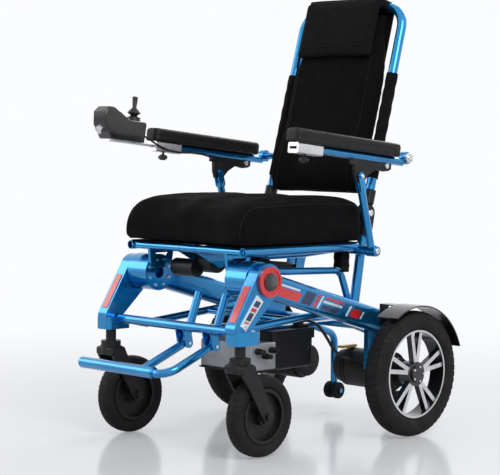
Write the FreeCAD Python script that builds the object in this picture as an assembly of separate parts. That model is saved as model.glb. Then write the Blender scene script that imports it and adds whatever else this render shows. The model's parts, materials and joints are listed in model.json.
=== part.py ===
import FreeCAD, Part
import math
import os

# Folding power wheelchair, in millimetres.
# +Z is up, the chair faces -Y, and +X is the user's left side.
# The origin is the point on the floor midway under the rear axle.

# Gaps between moving pieces
FIT = 0.08
GAP = 0.6
SEAT_GAP = 0.3
BODY_GAP = 2.0

# Rear wheels
WHEEL_DIA = 320.0
TYRE_WIDTH = 55.0
TYRE_SHOULDER = 16.0
WHEEL_TRACK = 580.0
RIM_DIA = 224.0
RIM_WALL = 5.0
RIM_WIDTH = 44.0
SPOKE_COUNT = 5
SPOKE_PAIR_TURN = 11.0
SPOKE_WIDTH = 11.0
SPOKE_DEPTH = 16.0
WHEEL_HUB_DIA = 62.0
WHEEL_CAP_DIA = 44.0
WHEEL_CAP_DEPTH = 6.0
AXLE_DIA = 17.0
AXLE_SEAT = 26.0

# Casters
CASTER_DIA = 196.0
CASTER_WIDTH = 42.0
CASTER_SHOULDER = 14.0
CASTER_RIM_DIA = 132.0
CASTER_HUB_DIA = 44.0
CASTER_WEB = 10.0
CASTER_BOLT_DIA = 12.0
CASTER_NUT_DIA = 19.0
CASTER_NUT_DEPTH = 6.0
CASTER_TRAIL = 66.0
STEM_X = 231.0
STEM_Y = -554.0
STEM_DIA = 16.0
FORK_BLADE = 7.0
FORK_BLADE_WIDTH = 34.0
FORK_CROWN_DIA = 50.0
FORK_TOP = 240.0
FORK_CROWN_LOW = 206.0
COLLAR_DIA = 26.0

# Front hubs and the two main beams
HUB_Y = -473.0
HUB_Z = 414.0
HUB_DIA = 92.0
HUB_IN_X = 150.0
HUB_OUT_X = 210.0
HUB_WALL = 6.0
FLANGE_DEPTH = 9.0
FLANGE_HOLE_DIA = 30.0
FLANGE_BOLTS = 8
FLANGE_BOLT_RING = 68.0
FLANGE_BOLT_DIA = 8.0
HUB_SHAFT_DIA = 28.0
DISC_DIA = 73.0
DISC_DEPTH = 7.0
BEAM_X = 184.0
BEAM_WIDTH = 44.0
BEAM_HEIGHT = 62.0
BEAM_CORNER = 14.0
BEAM_WALL = 2.5
BEAM_FALL = 15.5
BEAM_END_Y = 6.0

# Front legs
STRUT_IN_X = 212.0
STRUT_WIDTH = 32.0
STRUT_DEPTH = 46.0
STRUT_EYE_DIA = 86.0
STRUT_FOOT_Y = -563.0
STRUT_FOOT_Z = 306.0
STRIP_DEPTH = 2.0
STRIP_WIDTH = 20.0
PANEL_DEPTH = 2.0
PANEL_WIDTH = 26.0
HOUSING_WIDTH = 50.0
HOUSING_LENGTH = 76.0
HOUSING_LOW = 270.0
HOUSING_HIGH = 302.0
HOUSING_CORNER = 12.0
CROSSBAR_Y = -545.0
CROSSBAR_Z = 297.0
CROSSBAR_DIA = 23.0
TUBE_WALL = 2.0

# Lower link frame
LINK_X = 150.0
LINK_DIA = 19.0
LINK_PIVOT_Y = -512.0
LINK_PIVOT_Z = 288.0
LINK_REAR_Y = -150.0
LINK_REAR_Z = 318.0
LINK_CROSS_Y = -300.0
LINK_PIN_DIA = 8.0
LINK_EAR = 5.0

# Flip-up foot bar
FOOT_X_LOW = 24.0
FOOT_X_HIGH = 118.0
FOOT_LEG_DIA = 20.0
FOOT_PIVOT_Y = -536.0
FOOT_PIVOT_Z = 256.0
FOOT_TOP_Y = -491.0
FOOT_TOP_Z = 376.0
FOOT_BAR_Y = -680.0
FOOT_BAR_Z = 200.0
FOOT_BAR_END_X = -194.0
FOOT_SLEEVE_DIA = 28.0
FOOT_RING_X = 72.0
FOOT_RING_LENGTH = 4.0
FOOT_EAR = 5.0
FOOT_EAR_WIDTH = 24.0
FOOT_PIN_DIA = 8.0

# Seat frame
RAIL_X = 200.0
RAIL_Z = 482.0
RAIL_DIA = 22.0
RAIL_FRONT_Y = -518.0
BOW_X = 137.0
BOW_DIA = 19.0
BOW_SAG = 16.0
BOW_DIP_START_Y = -430.0
BOW_DIP_END_Y = -370.0
BOW_TIE_Y = -250.0
BRACKET_DEPTH = 8.0
BASE_X = 172.0
BASE_DIA = 18.0
BASE_Z = 428.0
BASE_BEND_Y = -142.0
BASE_FOOT_Y = -104.0
STRAP_WIDTH = 34.0
STRAP_DEPTH = 26.0

# Seat and back
SEAT_WIDTH = 436.0
SEAT_FRONT_Y = -538.0
SEAT_BACK_Y = -92.0
SEAT_LOW = 495.0
SEAT_HIGH = 602.0
SEAT_CROWN = 10.0
SLING_DEPTH = 2.0
BACK_TUBE_X = 174.0
BACK_TUBE_DIA = 25.0
BACK_RECLINE = 15.5
BACK_HIGH = 1112.0
BACK_CORNER = 58.0
FOLD_Y = -50.0
FOLD_Z = 565.0
STRUT_REAR_LOW_Y = -88.0
BACK_PAD_LOW = 606.0
BACK_PAD_DEPTH = 44.0
BACK_PAD_TOP_WIDTH = 262.0
PILLOW_WIDTH = 256.0
PILLOW_HEIGHT = 150.0
PILLOW_DEPTH = 22.0
KNUCKLE_WIDTH = 13.0
KNUCKLE_DIA = 44.0
KNUCKLE_PIN_DIA = 10.0

# Armrests
ARM_X = SEAT_WIDTH / 2 + 32
ARM_PIVOT_Y = 12.0
ARM_PIVOT_Z = 706.0
ARM_PIVOT_DIA = 18.0
ARM_SLOPE = 5.4
PAD_LENGTH = 384.0
PAD_WIDTH = 50.0
PAD_DEPTH = 34.0
PAD_REAR_Y = -24.0
PAD_REAR_TOP = 742.0
ARM_TUBE_DIA = 20.0
ARM_BRACKET_WIDTH = 8.0
POST_DIA = 20.0
POST_LOW_Y = -113.0
POST_LOW_Z = 474.0
POST_TOP_Y = -164.0
POST_TOP_Z = 661.0
BRACKET_LUG_POINTS = [(-22, 51), (104, 45), (116, 33), (112, 13), (90, 11),
                      (60, 17), (32, 3), (14, -15), (-14, -15), (-20, 3)]
BRACKET_BOLT_ALONG = 99.0
BRACKET_BOLT_ABOVE = 25.0
CAP_DIA = 26.0
CAP_DEPTH = 9.0
CLAMP_HEIGHT = 26.0
CLAMP_WIDTH = 34.0
CLAMP_FRONT_Y = -400.0
CLAMP_REAR_Y = -312.0
SLOT_DEPTH = 74.0
KNOB_DIA = 24.0
KNOB_HEIGHT = 14.0

# Joystick box in front of the right armrest, sizes given before the armrest's slope
BOX_WIDTH = 50.0
BOX_FRONT_Y = -584.0
BOX_LENGTH = 140.0
BOX_NOSE_HEIGHT = 80.0
BOX_REAR_HEIGHT = 53.0
BAR_WIDTH = 22.0
BAR_DEPTH = 5.0
STICK_Y = -470.0
STICK_HEIGHT = 56.0
STICK_TILT = 18.0
STICK_DIA = 14.0
BOOT_DIA = 40.0
TILT_PIN_DIA = 3.0
BUTTON_DIA = 12.0
BUTTON_TRAVEL = 1.5
BUTTON_X_STEP = 24.0
PORT_DIA = 20.0

# Fenders and anti-tip arms
FENDER_GAP = 12.0
FENDER_DEPTH = 3.0
FENDER_WIDTH = 66.0
FENDER_START = 58.0
FENDER_END = 160.0
TIP_X = 105.0
TIP_DIA = 20.0
TIP_AXLE_Y = 152.0
TIP_AXLE_Z = 58.0
ROLLER_DIA = 46.0
ROLLER_WIDTH = 15.0
ROLLER_PIN_DIA = 7.0

# Motors, battery and power box
MOTOR_DIA = 100.0
MOTOR_IN_X = 60.0
MOTOR_OUT_X = WHEEL_TRACK / 2 - 34
MOTOR_Z = 158.0
LEVER_X = 96.0
AXLE_TUBE_DIA = 26.0
AXLE_TUBE_Z = 270.0
BATTERY_LENGTH = 150.0
BATTERY_WIDTH = 190.0
BATTERY_LOW = 172.0
BATTERY_HIGH = 272.0
BATTERY_FRONT_Y = -304.0
POWER_FRONT_Y = -400.0
POWER_LENGTH = 88.0
POWER_WIDTH = 180.0
POWER_X = 25.0
POWER_LOW = 180.0
POWER_HIGH = 248.0

os.makedirs("parts", exist_ok=True)

# Small parts, and the cords as points (X, Y, Z)
SLEEVE_WALL = 3.0
SLEEVE_LOW = 92.0
SLEEVE_HIGH = 372.0
HANGER_X = 60.0
HANGER_WIDTH = 20.0
HANGER_DEPTH = 8.0
PLUG_COUNT = 3
PLUG_DIA = 16.0
PLUG_LENGTH = 26.0
ACTUATOR_FRONT = (-425.0, 450.0)
ACTUATOR_REAR = (-125.0, 421.0)
ACTUATOR_TUBE_DIA = 38.0
ACTUATOR_ROD_DIA = 20.0
ACTUATOR_GEAR_DIA = 62.0
LEVER_PIN_DIA = 12.0
BACK_SOCKET = 34.0
KNOB_SCREW_DIA = 6.0
PIVOT_SHAFT_DIA = 12.0
CABLE_DIA = 8.0
CONTROL_CABLE_DIA = 5.0
CABLE_POINTS = ((65, -182, 289), (77, -157, 289), (88, -130, 276), (92, -104, 246), (95, -80, 212),
                (104, -60, 191), (122, -38, 180))
CONTROL_CABLE_POINTS = ((-236, -444, 716), (-234, -424, 709), (-230, -400, 697), (-228, -366, 688),
                        (-228, -320, 685), (-228, -270, 690), (-230, -224, 688), (-238, -188, 682))


def at(x, y, z):
    return FreeCAD.Vector(x, y, z)


UP = at(0, 0, 1)
LEFT = at(1, 0, 0)
BACK = at(0, 1, 0)


def rod(start, end, diameter):
    """A round bar between two points."""
    along = end - start
    return Part.makeCylinder(diameter / 2, along.Length, start, along)


def disc(centre, axis, diameter, depth):
    return Part.makeCylinder(diameter / 2, depth, centre, axis)


def box(low, high):
    size = high - low
    return Part.makeBox(size.x, size.y, size.z, low)


def rounded_path(points, bend):
    """Straight runs joined by tangent arcs, as one wire."""
    edges = []
    start = points[0]
    for before, corner, after in zip(points, points[1:], points[2:]):
        come = (corner - before).normalize()
        leave = (after - corner).normalize()
        half_turn = come.getAngle(leave) / 2
        cut_back = bend * math.tan(half_turn)
        arc_start = corner - come * cut_back
        arc_end = corner + leave * cut_back
        inward = (leave - come).normalize()
        middle = corner + inward * (bend / math.cos(half_turn) - bend)
        edges.append(Part.LineSegment(start, arc_start).toShape())
        edges.append(Part.Arc(arc_start, middle, arc_end).toShape())
        start = arc_end
    edges.append(Part.LineSegment(start, points[-1]).toShape())
    return Part.Wire(edges)


def bent_rod(points, diameter, bend):
    """A round bar swept along straight runs and arcs."""
    path = rounded_path(points, bend)
    first_run = points[1] - points[0]
    ring = Part.Wire([Part.makeCircle(diameter / 2, points[0], first_run)])
    return path.makePipeShell([ring], True, False)


def bent_tube(points, diameter, bend):
    """A hollow bent tube with open ends."""
    outside = bent_rod(points, diameter, bend)
    return outside.cut(bent_rod(points, diameter - 2 * TUBE_WALL, bend))


def straight_tube(start, end, diameter):
    return rod(start, end, diameter).cut(rod(start, end, diameter - 2 * TUBE_WALL))


def plate(outline, x_low, depth):
    """A flat plate from (y, z) points, extruded along X."""
    corners = [at(x_low, y, z) for y, z in outline]
    face = Part.Face(Part.makePolygon(corners + [corners[0]]))
    return face.extrude(at(depth, 0, 0))


def link_plate(ends, diameters, x_low, depth):
    """A flat link: two round ends joined by straight sides."""
    (y1, z1), (y2, z2) = ends
    big = disc(at(x_low, y1, z1), LEFT, diameters[0], depth)
    small = disc(at(x_low, y2, z2), LEFT, diameters[1], depth)
    length = math.hypot(y2 - y1, z2 - z1)
    across = (-(z2 - z1) / length, (y2 - y1) / length)
    outline = []
    for y, z, diameter, sides in ((y1, z1, diameters[0], (1, -1)), (y2, z2, diameters[1], (-1, 1))):
        for side in sides:
            reach = side * diameter / 2
            outline.append((y + across[0] * reach, z + across[1] * reach))
    return big.fuse([plate(outline, x_low, depth), small]).removeSplitter()


def rounded_box(low, high, corner, edges_along=None):
    """A box whose edges along one axis, or all of them, are rounded."""
    block = box(low, high)
    chosen = block.Edges
    if edges_along is not None:
        chosen = [e for e in chosen if abs(e.tangentAt(e.FirstParameter).dot(edges_along)) > 0.99]
    return block.makeFillet(corner, chosen)


def mirrored(shape):
    return shape.mirror(at(0, 0, 0), LEFT)


def both(shape):
    """A left piece and its mirror twin, as one group."""
    return Part.Compound([shape, mirrored(shape)])


def tilted(shape, degrees, centre):
    """The shape turned about an X axis through the centre."""
    turned = shape.copy()
    turned.rotate(centre, LEFT, degrees)
    return turned


def back_tilted(shape):
    """A piece of the upright back, leaned to the resting recline."""
    return tilted(shape, -BACK_RECLINE, at(0, FOLD_Y, FOLD_Z))


def arm_tilted(shape):
    """A piece of the level armrest, turned to the armrest's slope."""
    return tilted(shape, -ARM_SLOPE, at(0, PAD_REAR_Y, PAD_REAR_TOP))


def beam_z(y):
    return HUB_Z - (y - HUB_Y) * math.tan(math.radians(BEAM_FALL))


def hub_solid(x_low, x_high, diameter):
    return disc(at(x_low, HUB_Y, HUB_Z), LEFT, diameter, x_high - x_low)


def main_beam():
    """The big rounded tube from the front hub down to the rear axle."""
    length = (BEAM_END_Y - HUB_Y) / math.cos(math.radians(BEAM_FALL))
    shells = []
    for inset in (0.0, BEAM_WALL):
        low = at(BEAM_X - BEAM_WIDTH / 2 + inset, HUB_Y, HUB_Z - BEAM_HEIGHT / 2 + inset)
        high = at(BEAM_X + BEAM_WIDTH / 2 - inset, HUB_Y + length, HUB_Z + BEAM_HEIGHT / 2 - inset)
        shells.append(rounded_box(low, high, BEAM_CORNER - inset, BACK))
    tube = shells[0].cut(shells[1])
    tube = tilted(tube, -BEAM_FALL, at(0, HUB_Y, HUB_Z))
    return tube.cut(hub_solid(HUB_IN_X, HUB_OUT_X, HUB_DIA))


def beam_end_cap():
    """The plug that closes the beam's rear end."""
    length = (BEAM_END_Y - HUB_Y) / math.cos(math.radians(BEAM_FALL))
    low = at(BEAM_X - BEAM_WIDTH / 2, HUB_Y + length, HUB_Z - BEAM_HEIGHT / 2)
    high = at(BEAM_X + BEAM_WIDTH / 2, HUB_Y + length + 4, HUB_Z + BEAM_HEIGHT / 2)
    return tilted(rounded_box(low, high, BEAM_CORNER, BACK), -BEAM_FALL, at(0, HUB_Y, HUB_Z))


def flange_bolt_places():
    places = []
    for n in range(FLANGE_BOLTS):
        turn = math.radians((n + 0.5) * 360 / FLANGE_BOLTS)
        reach = FLANGE_BOLT_RING / 2
        places.append((HUB_Y + reach * math.cos(turn), HUB_Z + reach * math.sin(turn)))
    return places


def hub_barrel():
    """The front pivot's barrel, with an end plate that bears the leg's shaft and an inner bolt flange."""
    barrel = hub_solid(HUB_IN_X, HUB_OUT_X, HUB_DIA)
    barrel = barrel.cut(hub_solid(HUB_IN_X, HUB_OUT_X - 2 * HUB_WALL, HUB_DIA - 2 * HUB_WALL))
    barrel = barrel.cut(hub_solid(HUB_IN_X, HUB_OUT_X, HUB_SHAFT_DIA + 2 * FIT))
    flange = hub_solid(HUB_IN_X - FLANGE_DEPTH, HUB_IN_X, HUB_DIA)
    flange = flange.cut(hub_solid(HUB_IN_X - FLANGE_DEPTH, HUB_IN_X, FLANGE_HOLE_DIA))
    bolts = []
    for y, z in flange_bolt_places():
        bolts.append(disc(at(HUB_IN_X - FLANGE_DEPTH - 3, y, z), LEFT, FLANGE_BOLT_DIA, 3))
    return barrel.fuse(flange).removeSplitter(), bolts


def bracket_outline(points):
    """Side outline given as distances back from and above the hub's axis."""
    return [(HUB_Y + back, HUB_Z + up) for back, up in points]


def seat_bracket():
    """The pierced plate bolted to the hub's inner flange, which carries the bowed inner seat tube."""
    top = RAIL_Z - HUB_Z
    x = HUB_IN_X - FLANGE_DEPTH - BRACKET_DEPTH
    outer = bracket_outline([(-34, 12), (22, 12), (36, 28), (BOW_DIP_START_Y - HUB_Y, top), (-40, top)])
    window = bracket_outline([(-20, top - 18), (-8, 32), (14, 32), (28, top - 18)])
    bracket = plate(outer, x, BRACKET_DEPTH).cut(plate(window, x, BRACKET_DEPTH))
    for y, z in flange_bolt_places():
        bracket = bracket.cut(disc(at(x, y, z), LEFT, FLANGE_BOLT_DIA + 2 * GAP, BRACKET_DEPTH))
    bracket = bracket.cut(disc(at(x, HUB_Y, HUB_Z), LEFT, FLANGE_HOLE_DIA, BRACKET_DEPTH))
    return bracket.cut(bowed_tube_solid()).cut(front_cross_rod())


def bowed_tube_points():
    """The inner seat tube runs level past the hub, dips under the seat and rises to the rear."""
    low_z = RAIL_Z - BOW_SAG
    return [at(BOW_X, RAIL_FRONT_Y + 14, RAIL_Z), at(BOW_X, BOW_DIP_START_Y, RAIL_Z),
            at(BOW_X, BOW_DIP_END_Y, low_z), at(BOW_X, BOW_TIE_Y, low_z),
            at(BOW_X, POST_LOW_Y, POST_LOW_Z)]


def bowed_tube_solid():
    return bent_rod(bowed_tube_points(), BOW_DIA, 70)


def seat_rail():
    start = at(RAIL_X, RAIL_FRONT_Y, RAIL_Z)
    end = at(RAIL_X, POST_LOW_Y, RAIL_Z)
    return straight_tube(start, end, RAIL_DIA).cut(pivot_rod())


def pivot_rod():
    """The whole cross tube that the armrest posts turn on."""
    reach = ARM_X - 10 - BODY_GAP
    return rod(at(-reach, POST_LOW_Y, POST_LOW_Z), at(reach, POST_LOW_Y, POST_LOW_Z), RAIL_DIA)


def front_cross_rod():
    y = RAIL_FRONT_Y + 14
    return rod(at(-RAIL_X, y, RAIL_Z), at(RAIL_X, y, RAIL_Z), BOW_DIA)


def hollowed(solid, start, end, diameter):
    return solid.cut(rod(start, end, diameter - 2 * TUBE_WALL))


def seat_frame():
    """Rails, bowed tubes and cross tubes, each a hollow tube coped to its neighbours."""
    rails = [seat_rail().cut(front_cross_rod())]
    bowed = bent_tube(bowed_tube_points(), BOW_DIA, 70)
    bowed = bowed.cut(front_cross_rod()).cut(pivot_rod())
    y = RAIL_FRONT_Y + 14
    front = hollowed(front_cross_rod(), at(-RAIL_X, y, RAIL_Z), at(RAIL_X, y, RAIL_Z), BOW_DIA)
    tie_z = RAIL_Z - BOW_SAG
    middle = rod(at(-BOW_X, BOW_TIE_Y, tie_z), at(BOW_X, BOW_TIE_Y, tie_z), BOW_DIA - 3)
    middle = middle.cut(both(bowed_tube_solid()))
    return rails, bowed, front, middle


def rear_strut_points():
    slope = (FOLD_Y - STRUT_REAR_LOW_Y) / (FOLD_Z - beam_z(STRUT_REAR_LOW_Y) - BEAM_HEIGHT / 2)
    low_z = beam_z(STRUT_REAR_LOW_Y) + BEAM_HEIGHT / 2 - 14
    low_y = STRUT_REAR_LOW_Y - slope * 14
    high_z = FOLD_Z - KNUCKLE_DIA / 2 - 6
    high_y = FOLD_Y - slope * (FOLD_Z - high_z)
    return at(BACK_TUBE_X, low_y, low_z), at(BACK_TUBE_X, high_y, high_z)


def whole_beam():
    """The beam with no hollow, to cope what stands on it."""
    length = (BEAM_END_Y - HUB_Y) / math.cos(math.radians(BEAM_FALL))
    low = at(BEAM_X - BEAM_WIDTH / 2, HUB_Y, HUB_Z - BEAM_HEIGHT / 2)
    high = at(BEAM_X + BEAM_WIDTH / 2, HUB_Y + length, HUB_Z + BEAM_HEIGHT / 2)
    return tilted(rounded_box(low, high, BEAM_CORNER, BACK), -BEAM_FALL, at(0, HUB_Y, HUB_Z))


def rear_strut():
    low, high = rear_strut_points()
    strut = straight_tube(low, high, BACK_TUBE_DIA).cut(whole_beam())
    tie_y = low.y + (high.y - low.y) * (POST_LOW_Z - low.z) / (high.z - low.z)
    tie = rod(at(BACK_TUBE_X, POST_LOW_Y, POST_LOW_Z), at(BACK_TUBE_X, tie_y, POST_LOW_Z), 16)
    tie = tie.cut(rod(low, high, BACK_TUBE_DIA)).cut(pivot_rod())
    return strut, tie


def base_tube():
    """The curved tube from the hub back over the beam and down onto it."""
    foot_z = beam_z(BASE_FOOT_Y) + BEAM_HEIGHT / 2 - 14
    points = [at(BASE_X, HUB_Y + 30, BASE_Z + 6), at(BASE_X, -330, BASE_Z),
              at(BASE_X, BASE_BEND_Y, BASE_Z - 6), at(BASE_X, BASE_FOOT_Y, foot_z)]
    tube = bent_tube(points, BASE_DIA, 34)
    return tube.cut(whole_beam()).cut(hub_solid(HUB_IN_X, HUB_OUT_X, HUB_DIA))


def base_strap():
    """The fabric sleeve that hangs round the base tube's rear bend, up to the seat rail."""
    top = SEAT_LOW - SLING_DEPTH
    y = BASE_BEND_Y + 6
    half = STRAP_WIDTH / 2
    low = at(BASE_X - STRAP_DEPTH / 2, y - half, BASE_Z + BASE_DIA / 2)
    high = at(BASE_X + STRAP_DEPTH / 2, y + half, top)
    strap = rounded_box(low, high, 6, UP)
    return strap.cut(seat_rail_solid()).cut(base_rod()).cut(pivot_rod())


def base_rod():
    foot_z = beam_z(BASE_FOOT_Y) + BEAM_HEIGHT / 2 - 14
    points = [at(BASE_X, HUB_Y + 30, BASE_Z + 6), at(BASE_X, -330, BASE_Z),
              at(BASE_X, BASE_BEND_Y, BASE_Z - 6), at(BASE_X, BASE_FOOT_Y, foot_z)]
    return bent_rod(points, BASE_DIA, 34)


def seat_rail_solid():
    return rod(at(RAIL_X, RAIL_FRONT_Y, RAIL_Z), at(RAIL_X, POST_LOW_Y, RAIL_Z), RAIL_DIA)


def knuckle_pin():
    reach = KNUCKLE_WIDTH / 2 + GAP + 7
    return disc(at(BACK_TUBE_X - reach, FOLD_Y, FOLD_Z), LEFT, KNUCKLE_PIN_DIA, 2 * reach)


def lower_knuckle():
    """The clevis on top of the rear strut, with its pin and two bolt heads."""
    low, high = rear_strut_points()
    cheek = 6
    inner = KNUCKLE_WIDTH / 2 + GAP
    ends = ((FOLD_Y, FOLD_Z), (high.y, high.z - 20))
    cheeks = []
    for x_low in (BACK_TUBE_X - inner - cheek, BACK_TUBE_X + inner):
        cheeks.append(link_plate(ends, (KNUCKLE_DIA, 34), x_low, cheek))
    floor_z = FOLD_Z - KNUCKLE_DIA / 2 - 4
    block = box(at(BACK_TUBE_X - inner - cheek, high.y - 17, floor_z - 26),
                at(BACK_TUBE_X + inner + cheek, high.y + 17, floor_z))
    body = cheeks[0].fuse([cheeks[1], block]).removeSplitter()
    body = body.cut(rod(low, high, BACK_TUBE_DIA)).cut(knuckle_pin())
    head_x = BACK_TUBE_X + inner + cheek
    heads = [disc(at(head_x, FOLD_Y, FOLD_Z), LEFT, 20, 4)]
    heads.append(disc(at(2 * BACK_TUBE_X - head_x - 4, FOLD_Y, FOLD_Z), LEFT, 20, 4))
    pin = knuckle_pin().fuse([h for h in heads])
    for plain in cheeks:
        pin = pin.cut(plain.cut(knuckle_pin()))
    return body, pin.removeSplitter()


def axle_cross_rod():
    inner = BEAM_X - BEAM_WIDTH / 2
    return rod(at(-inner, 0, AXLE_TUBE_Z), at(inner, 0, AXLE_TUBE_Z), AXLE_TUBE_DIA)


def motor_rod(trim=0.0):
    return rod(at(MOTOR_IN_X, 0, MOTOR_Z), at(MOTOR_OUT_X, 0, MOTOR_Z), MOTOR_DIA + trim)


def axle_frame():
    """Cross tube between the beams, and on each side a saddle plate that carries the motor."""
    inner = BEAM_X - BEAM_WIDTH / 2
    cross = hollowed(axle_cross_rod(), at(-inner, 0, AXLE_TUBE_Z), at(inner, 0, AXLE_TUBE_Z), AXLE_TUBE_DIA)
    outline = [(-52, beam_z(-52) - 20), (BEAM_END_Y, beam_z(BEAM_END_Y) - 20), (46, 178)]
    outline += [(46, 140), (-46, 140), (-52, 178)]
    saddle = plate(outline, BEAM_X - 7, 14).cut(whole_beam()).cut(motor_rod())
    return cross, saddle.cut(beam_end_cap())


def motor():
    """Gear motor: stepped housing, cooling band and end bell, with a bore for the wheel's shaft."""
    bell = rod(at(MOTOR_IN_X, 0, MOTOR_Z), at(MOTOR_IN_X + 26, 0, MOTOR_Z), MOTOR_DIA - 14)
    bell = bell.makeFillet(6, [e for e in bell.Edges if abs(e.BoundBox.XMax - MOTOR_IN_X) < 0.01])
    case = rod(at(MOTOR_IN_X + 26, 0, MOTOR_Z), at(MOTOR_OUT_X - 22, 0, MOTOR_Z), MOTOR_DIA)
    groove = case.cut(rod(at(MOTOR_IN_X + 26, 0, MOTOR_Z), at(MOTOR_OUT_X - 22, 0, MOTOR_Z), MOTOR_DIA - 5))
    slots = [box(at(MOTOR_IN_X + x, -MOTOR_DIA, 0), at(MOTOR_IN_X + x + 3, MOTOR_DIA, 400)) for x in (34, 44)]
    case = case.cut(groove.common(Part.Compound(slots)))
    nose = rod(at(MOTOR_OUT_X - 22, 0, MOTOR_Z), at(MOTOR_OUT_X, 0, MOTOR_Z), MOTOR_DIA - 26)
    body = bell.fuse([case, nose]).removeSplitter()
    bore = rod(at(MOTOR_OUT_X - AXLE_SEAT, 0, WHEEL_DIA / 2), at(MOTOR_OUT_X, 0, WHEEL_DIA / 2),
               AXLE_DIA + 2 * FIT)
    body = body.cut(bore)
    socket = lever_socket(LEVER_BORE)
    return body.cut(socket)


LEVER_BORE = LEVER_PIN_DIA + 2 * FIT


def lever_socket(diameter):
    return disc(at(LEVER_X, 0, MOTOR_Z + MOTOR_DIA / 2 - 16), UP, diameter, 40)


def freewheel_lever():
    """Yellow clutch lever on a short pin that turns in the top of the motor."""
    top = MOTOR_Z + MOTOR_DIA / 2
    pin = disc(at(LEVER_X, 0, top - 15), UP, LEVER_PIN_DIA, 21)
    arm = box(at(LEVER_X - 7, -38, top + 2), at(LEVER_X + 7, 7, top + 8))
    tag = box(at(LEVER_X - 9, -52, top + 2), at(LEVER_X + 9, -30, top + 8))
    return pin.fuse([arm, tag]).removeSplitter()


def fender():
    """A curved guard over the rear wheel with a web down to the beam."""
    radius = WHEEL_DIA / 2 + FENDER_GAP
    x_mid = WHEEL_TRACK / 2 - 2
    centre = at(x_mid - FENDER_WIDTH / 2, 0, WHEEL_DIA / 2)
    ring = disc(centre, LEFT, 2 * (radius + FENDER_DEPTH), FENDER_WIDTH)
    ring = ring.cut(disc(centre, LEFT, 2 * radius, FENDER_WIDTH))
    reach = 400
    spans = []
    for turn in (FENDER_START, FENDER_END):
        spans.append((-math.cos(math.radians(turn)) * reach, math.sin(math.radians(turn)) * reach))
    (y1, z1), (y2, z2) = spans
    axle = WHEEL_DIA / 2
    wedge = plate([(0, axle), (y1, axle + z1), (0, axle + reach * 1.5), (y2, axle + z2)],
                  x_mid - FENDER_WIDTH, 2 * FENDER_WIDTH)
    shell = ring.common(wedge)
    inner_x = BEAM_X + BEAM_WIDTH / 2
    tab_z = WHEEL_DIA / 2 + radius + 1
    tab_end = x_mid - FENDER_WIDTH / 2 + 8
    tab = box(at(inner_x, -26, tab_z - 54), at(inner_x + 4, 6, tab_z)).fuse(
        box(at(inner_x, -26, tab_z - 3), at(tab_end, 6, tab_z)))
    tab = tab.cut(disc(centre - at(FENDER_WIDTH, 0, 0), LEFT, 2 * radius, 3 * FENDER_WIDTH).common(
        box(at(tab_end - 8, -400, 0), at(500, 400, 600))))
    return shell.fuse(tab.cut(whole_beam())).removeSplitter()


def tip_points():
    return [at(TIP_X, 4, AXLE_TUBE_Z - 6), at(TIP_X, TIP_AXLE_Y - 2, 214),
            at(TIP_X, TIP_AXLE_Y, TIP_AXLE_Z + 12)]


def anti_tip_arm():
    """The bent tube behind the axle, ending in a boss that carries the rollers' pin."""
    arm = bent_tube(tip_points(), TIP_DIA, 34).cut(axle_cross_rod()).cut(
        rod(at(0, 0, AXLE_TUBE_Z), at(TIP_X + 40, 0, AXLE_TUBE_Z), AXLE_TUBE_DIA))
    room = ROLLER_DIA + 2 * BODY_GAP
    arm = arm.cut(disc(at(TIP_X - TIP_DIA, TIP_AXLE_Y, TIP_AXLE_Z), LEFT, room, 2 * TIP_DIA))
    last = tip_points()[-1]
    before = tip_points()[-2]
    away = (before - last).normalize() * (ROLLER_DIA / 2 + 2 * BODY_GAP)
    ends = ((TIP_AXLE_Y, TIP_AXLE_Z), (TIP_AXLE_Y + away.y, TIP_AXLE_Z + away.z))
    boss = link_plate(ends, (16, TIP_DIA - 4), TIP_X - 5, 10)
    reach = 5 + ROLLER_WIDTH + 2 * GAP + 3
    pin = disc(at(TIP_X - reach, TIP_AXLE_Y, TIP_AXLE_Z), LEFT, ROLLER_PIN_DIA, 2 * reach)
    ends = []
    for x_low in (TIP_X - reach - 3, TIP_X + reach):
        ends.append(disc(at(x_low, TIP_AXLE_Y, TIP_AXLE_Z), LEFT, 12, 3))
    return arm.fuse([boss.fuse([pin] + ends).removeSplitter()]).removeSplitter()


def rollers():
    """The two small wheels on one anti-tip arm."""
    wheels = []
    for x_low in (TIP_X - 5 - GAP - ROLLER_WIDTH, TIP_X + 5 + GAP):
        wheel = disc(at(x_low, TIP_AXLE_Y, TIP_AXLE_Z), LEFT, ROLLER_DIA, ROLLER_WIDTH)
        wheel = wheel.makeFillet(3, [e for e in wheel.Edges if e.Curve.TypeId == "Part::GeomCircle"])
        wheels.append(wheel.cut(disc(at(x_low, TIP_AXLE_Y, TIP_AXLE_Z), LEFT,
                                     ROLLER_PIN_DIA + 2 * FIT, ROLLER_WIDTH)))
    return Part.Compound(wheels)


def battery():
    """Battery case with its raised lid and the hanger straps up to the link level."""
    half = BATTERY_WIDTH / 2
    back_y = BATTERY_FRONT_Y + BATTERY_LENGTH
    case = rounded_box(at(-half, BATTERY_FRONT_Y, BATTERY_LOW), at(half, back_y, BATTERY_HIGH - 14), 10)
    lid = rounded_box(at(-half - 3, BATTERY_FRONT_Y - 3, BATTERY_HIGH - 26),
                      at(half + 3, back_y + 3, BATTERY_HIGH), 5, UP)
    lid = lid.cut(box(at(-half, BATTERY_FRONT_Y, 0), at(half, back_y, BATTERY_HIGH - 14)))
    return case, lid.cut(case)


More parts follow.
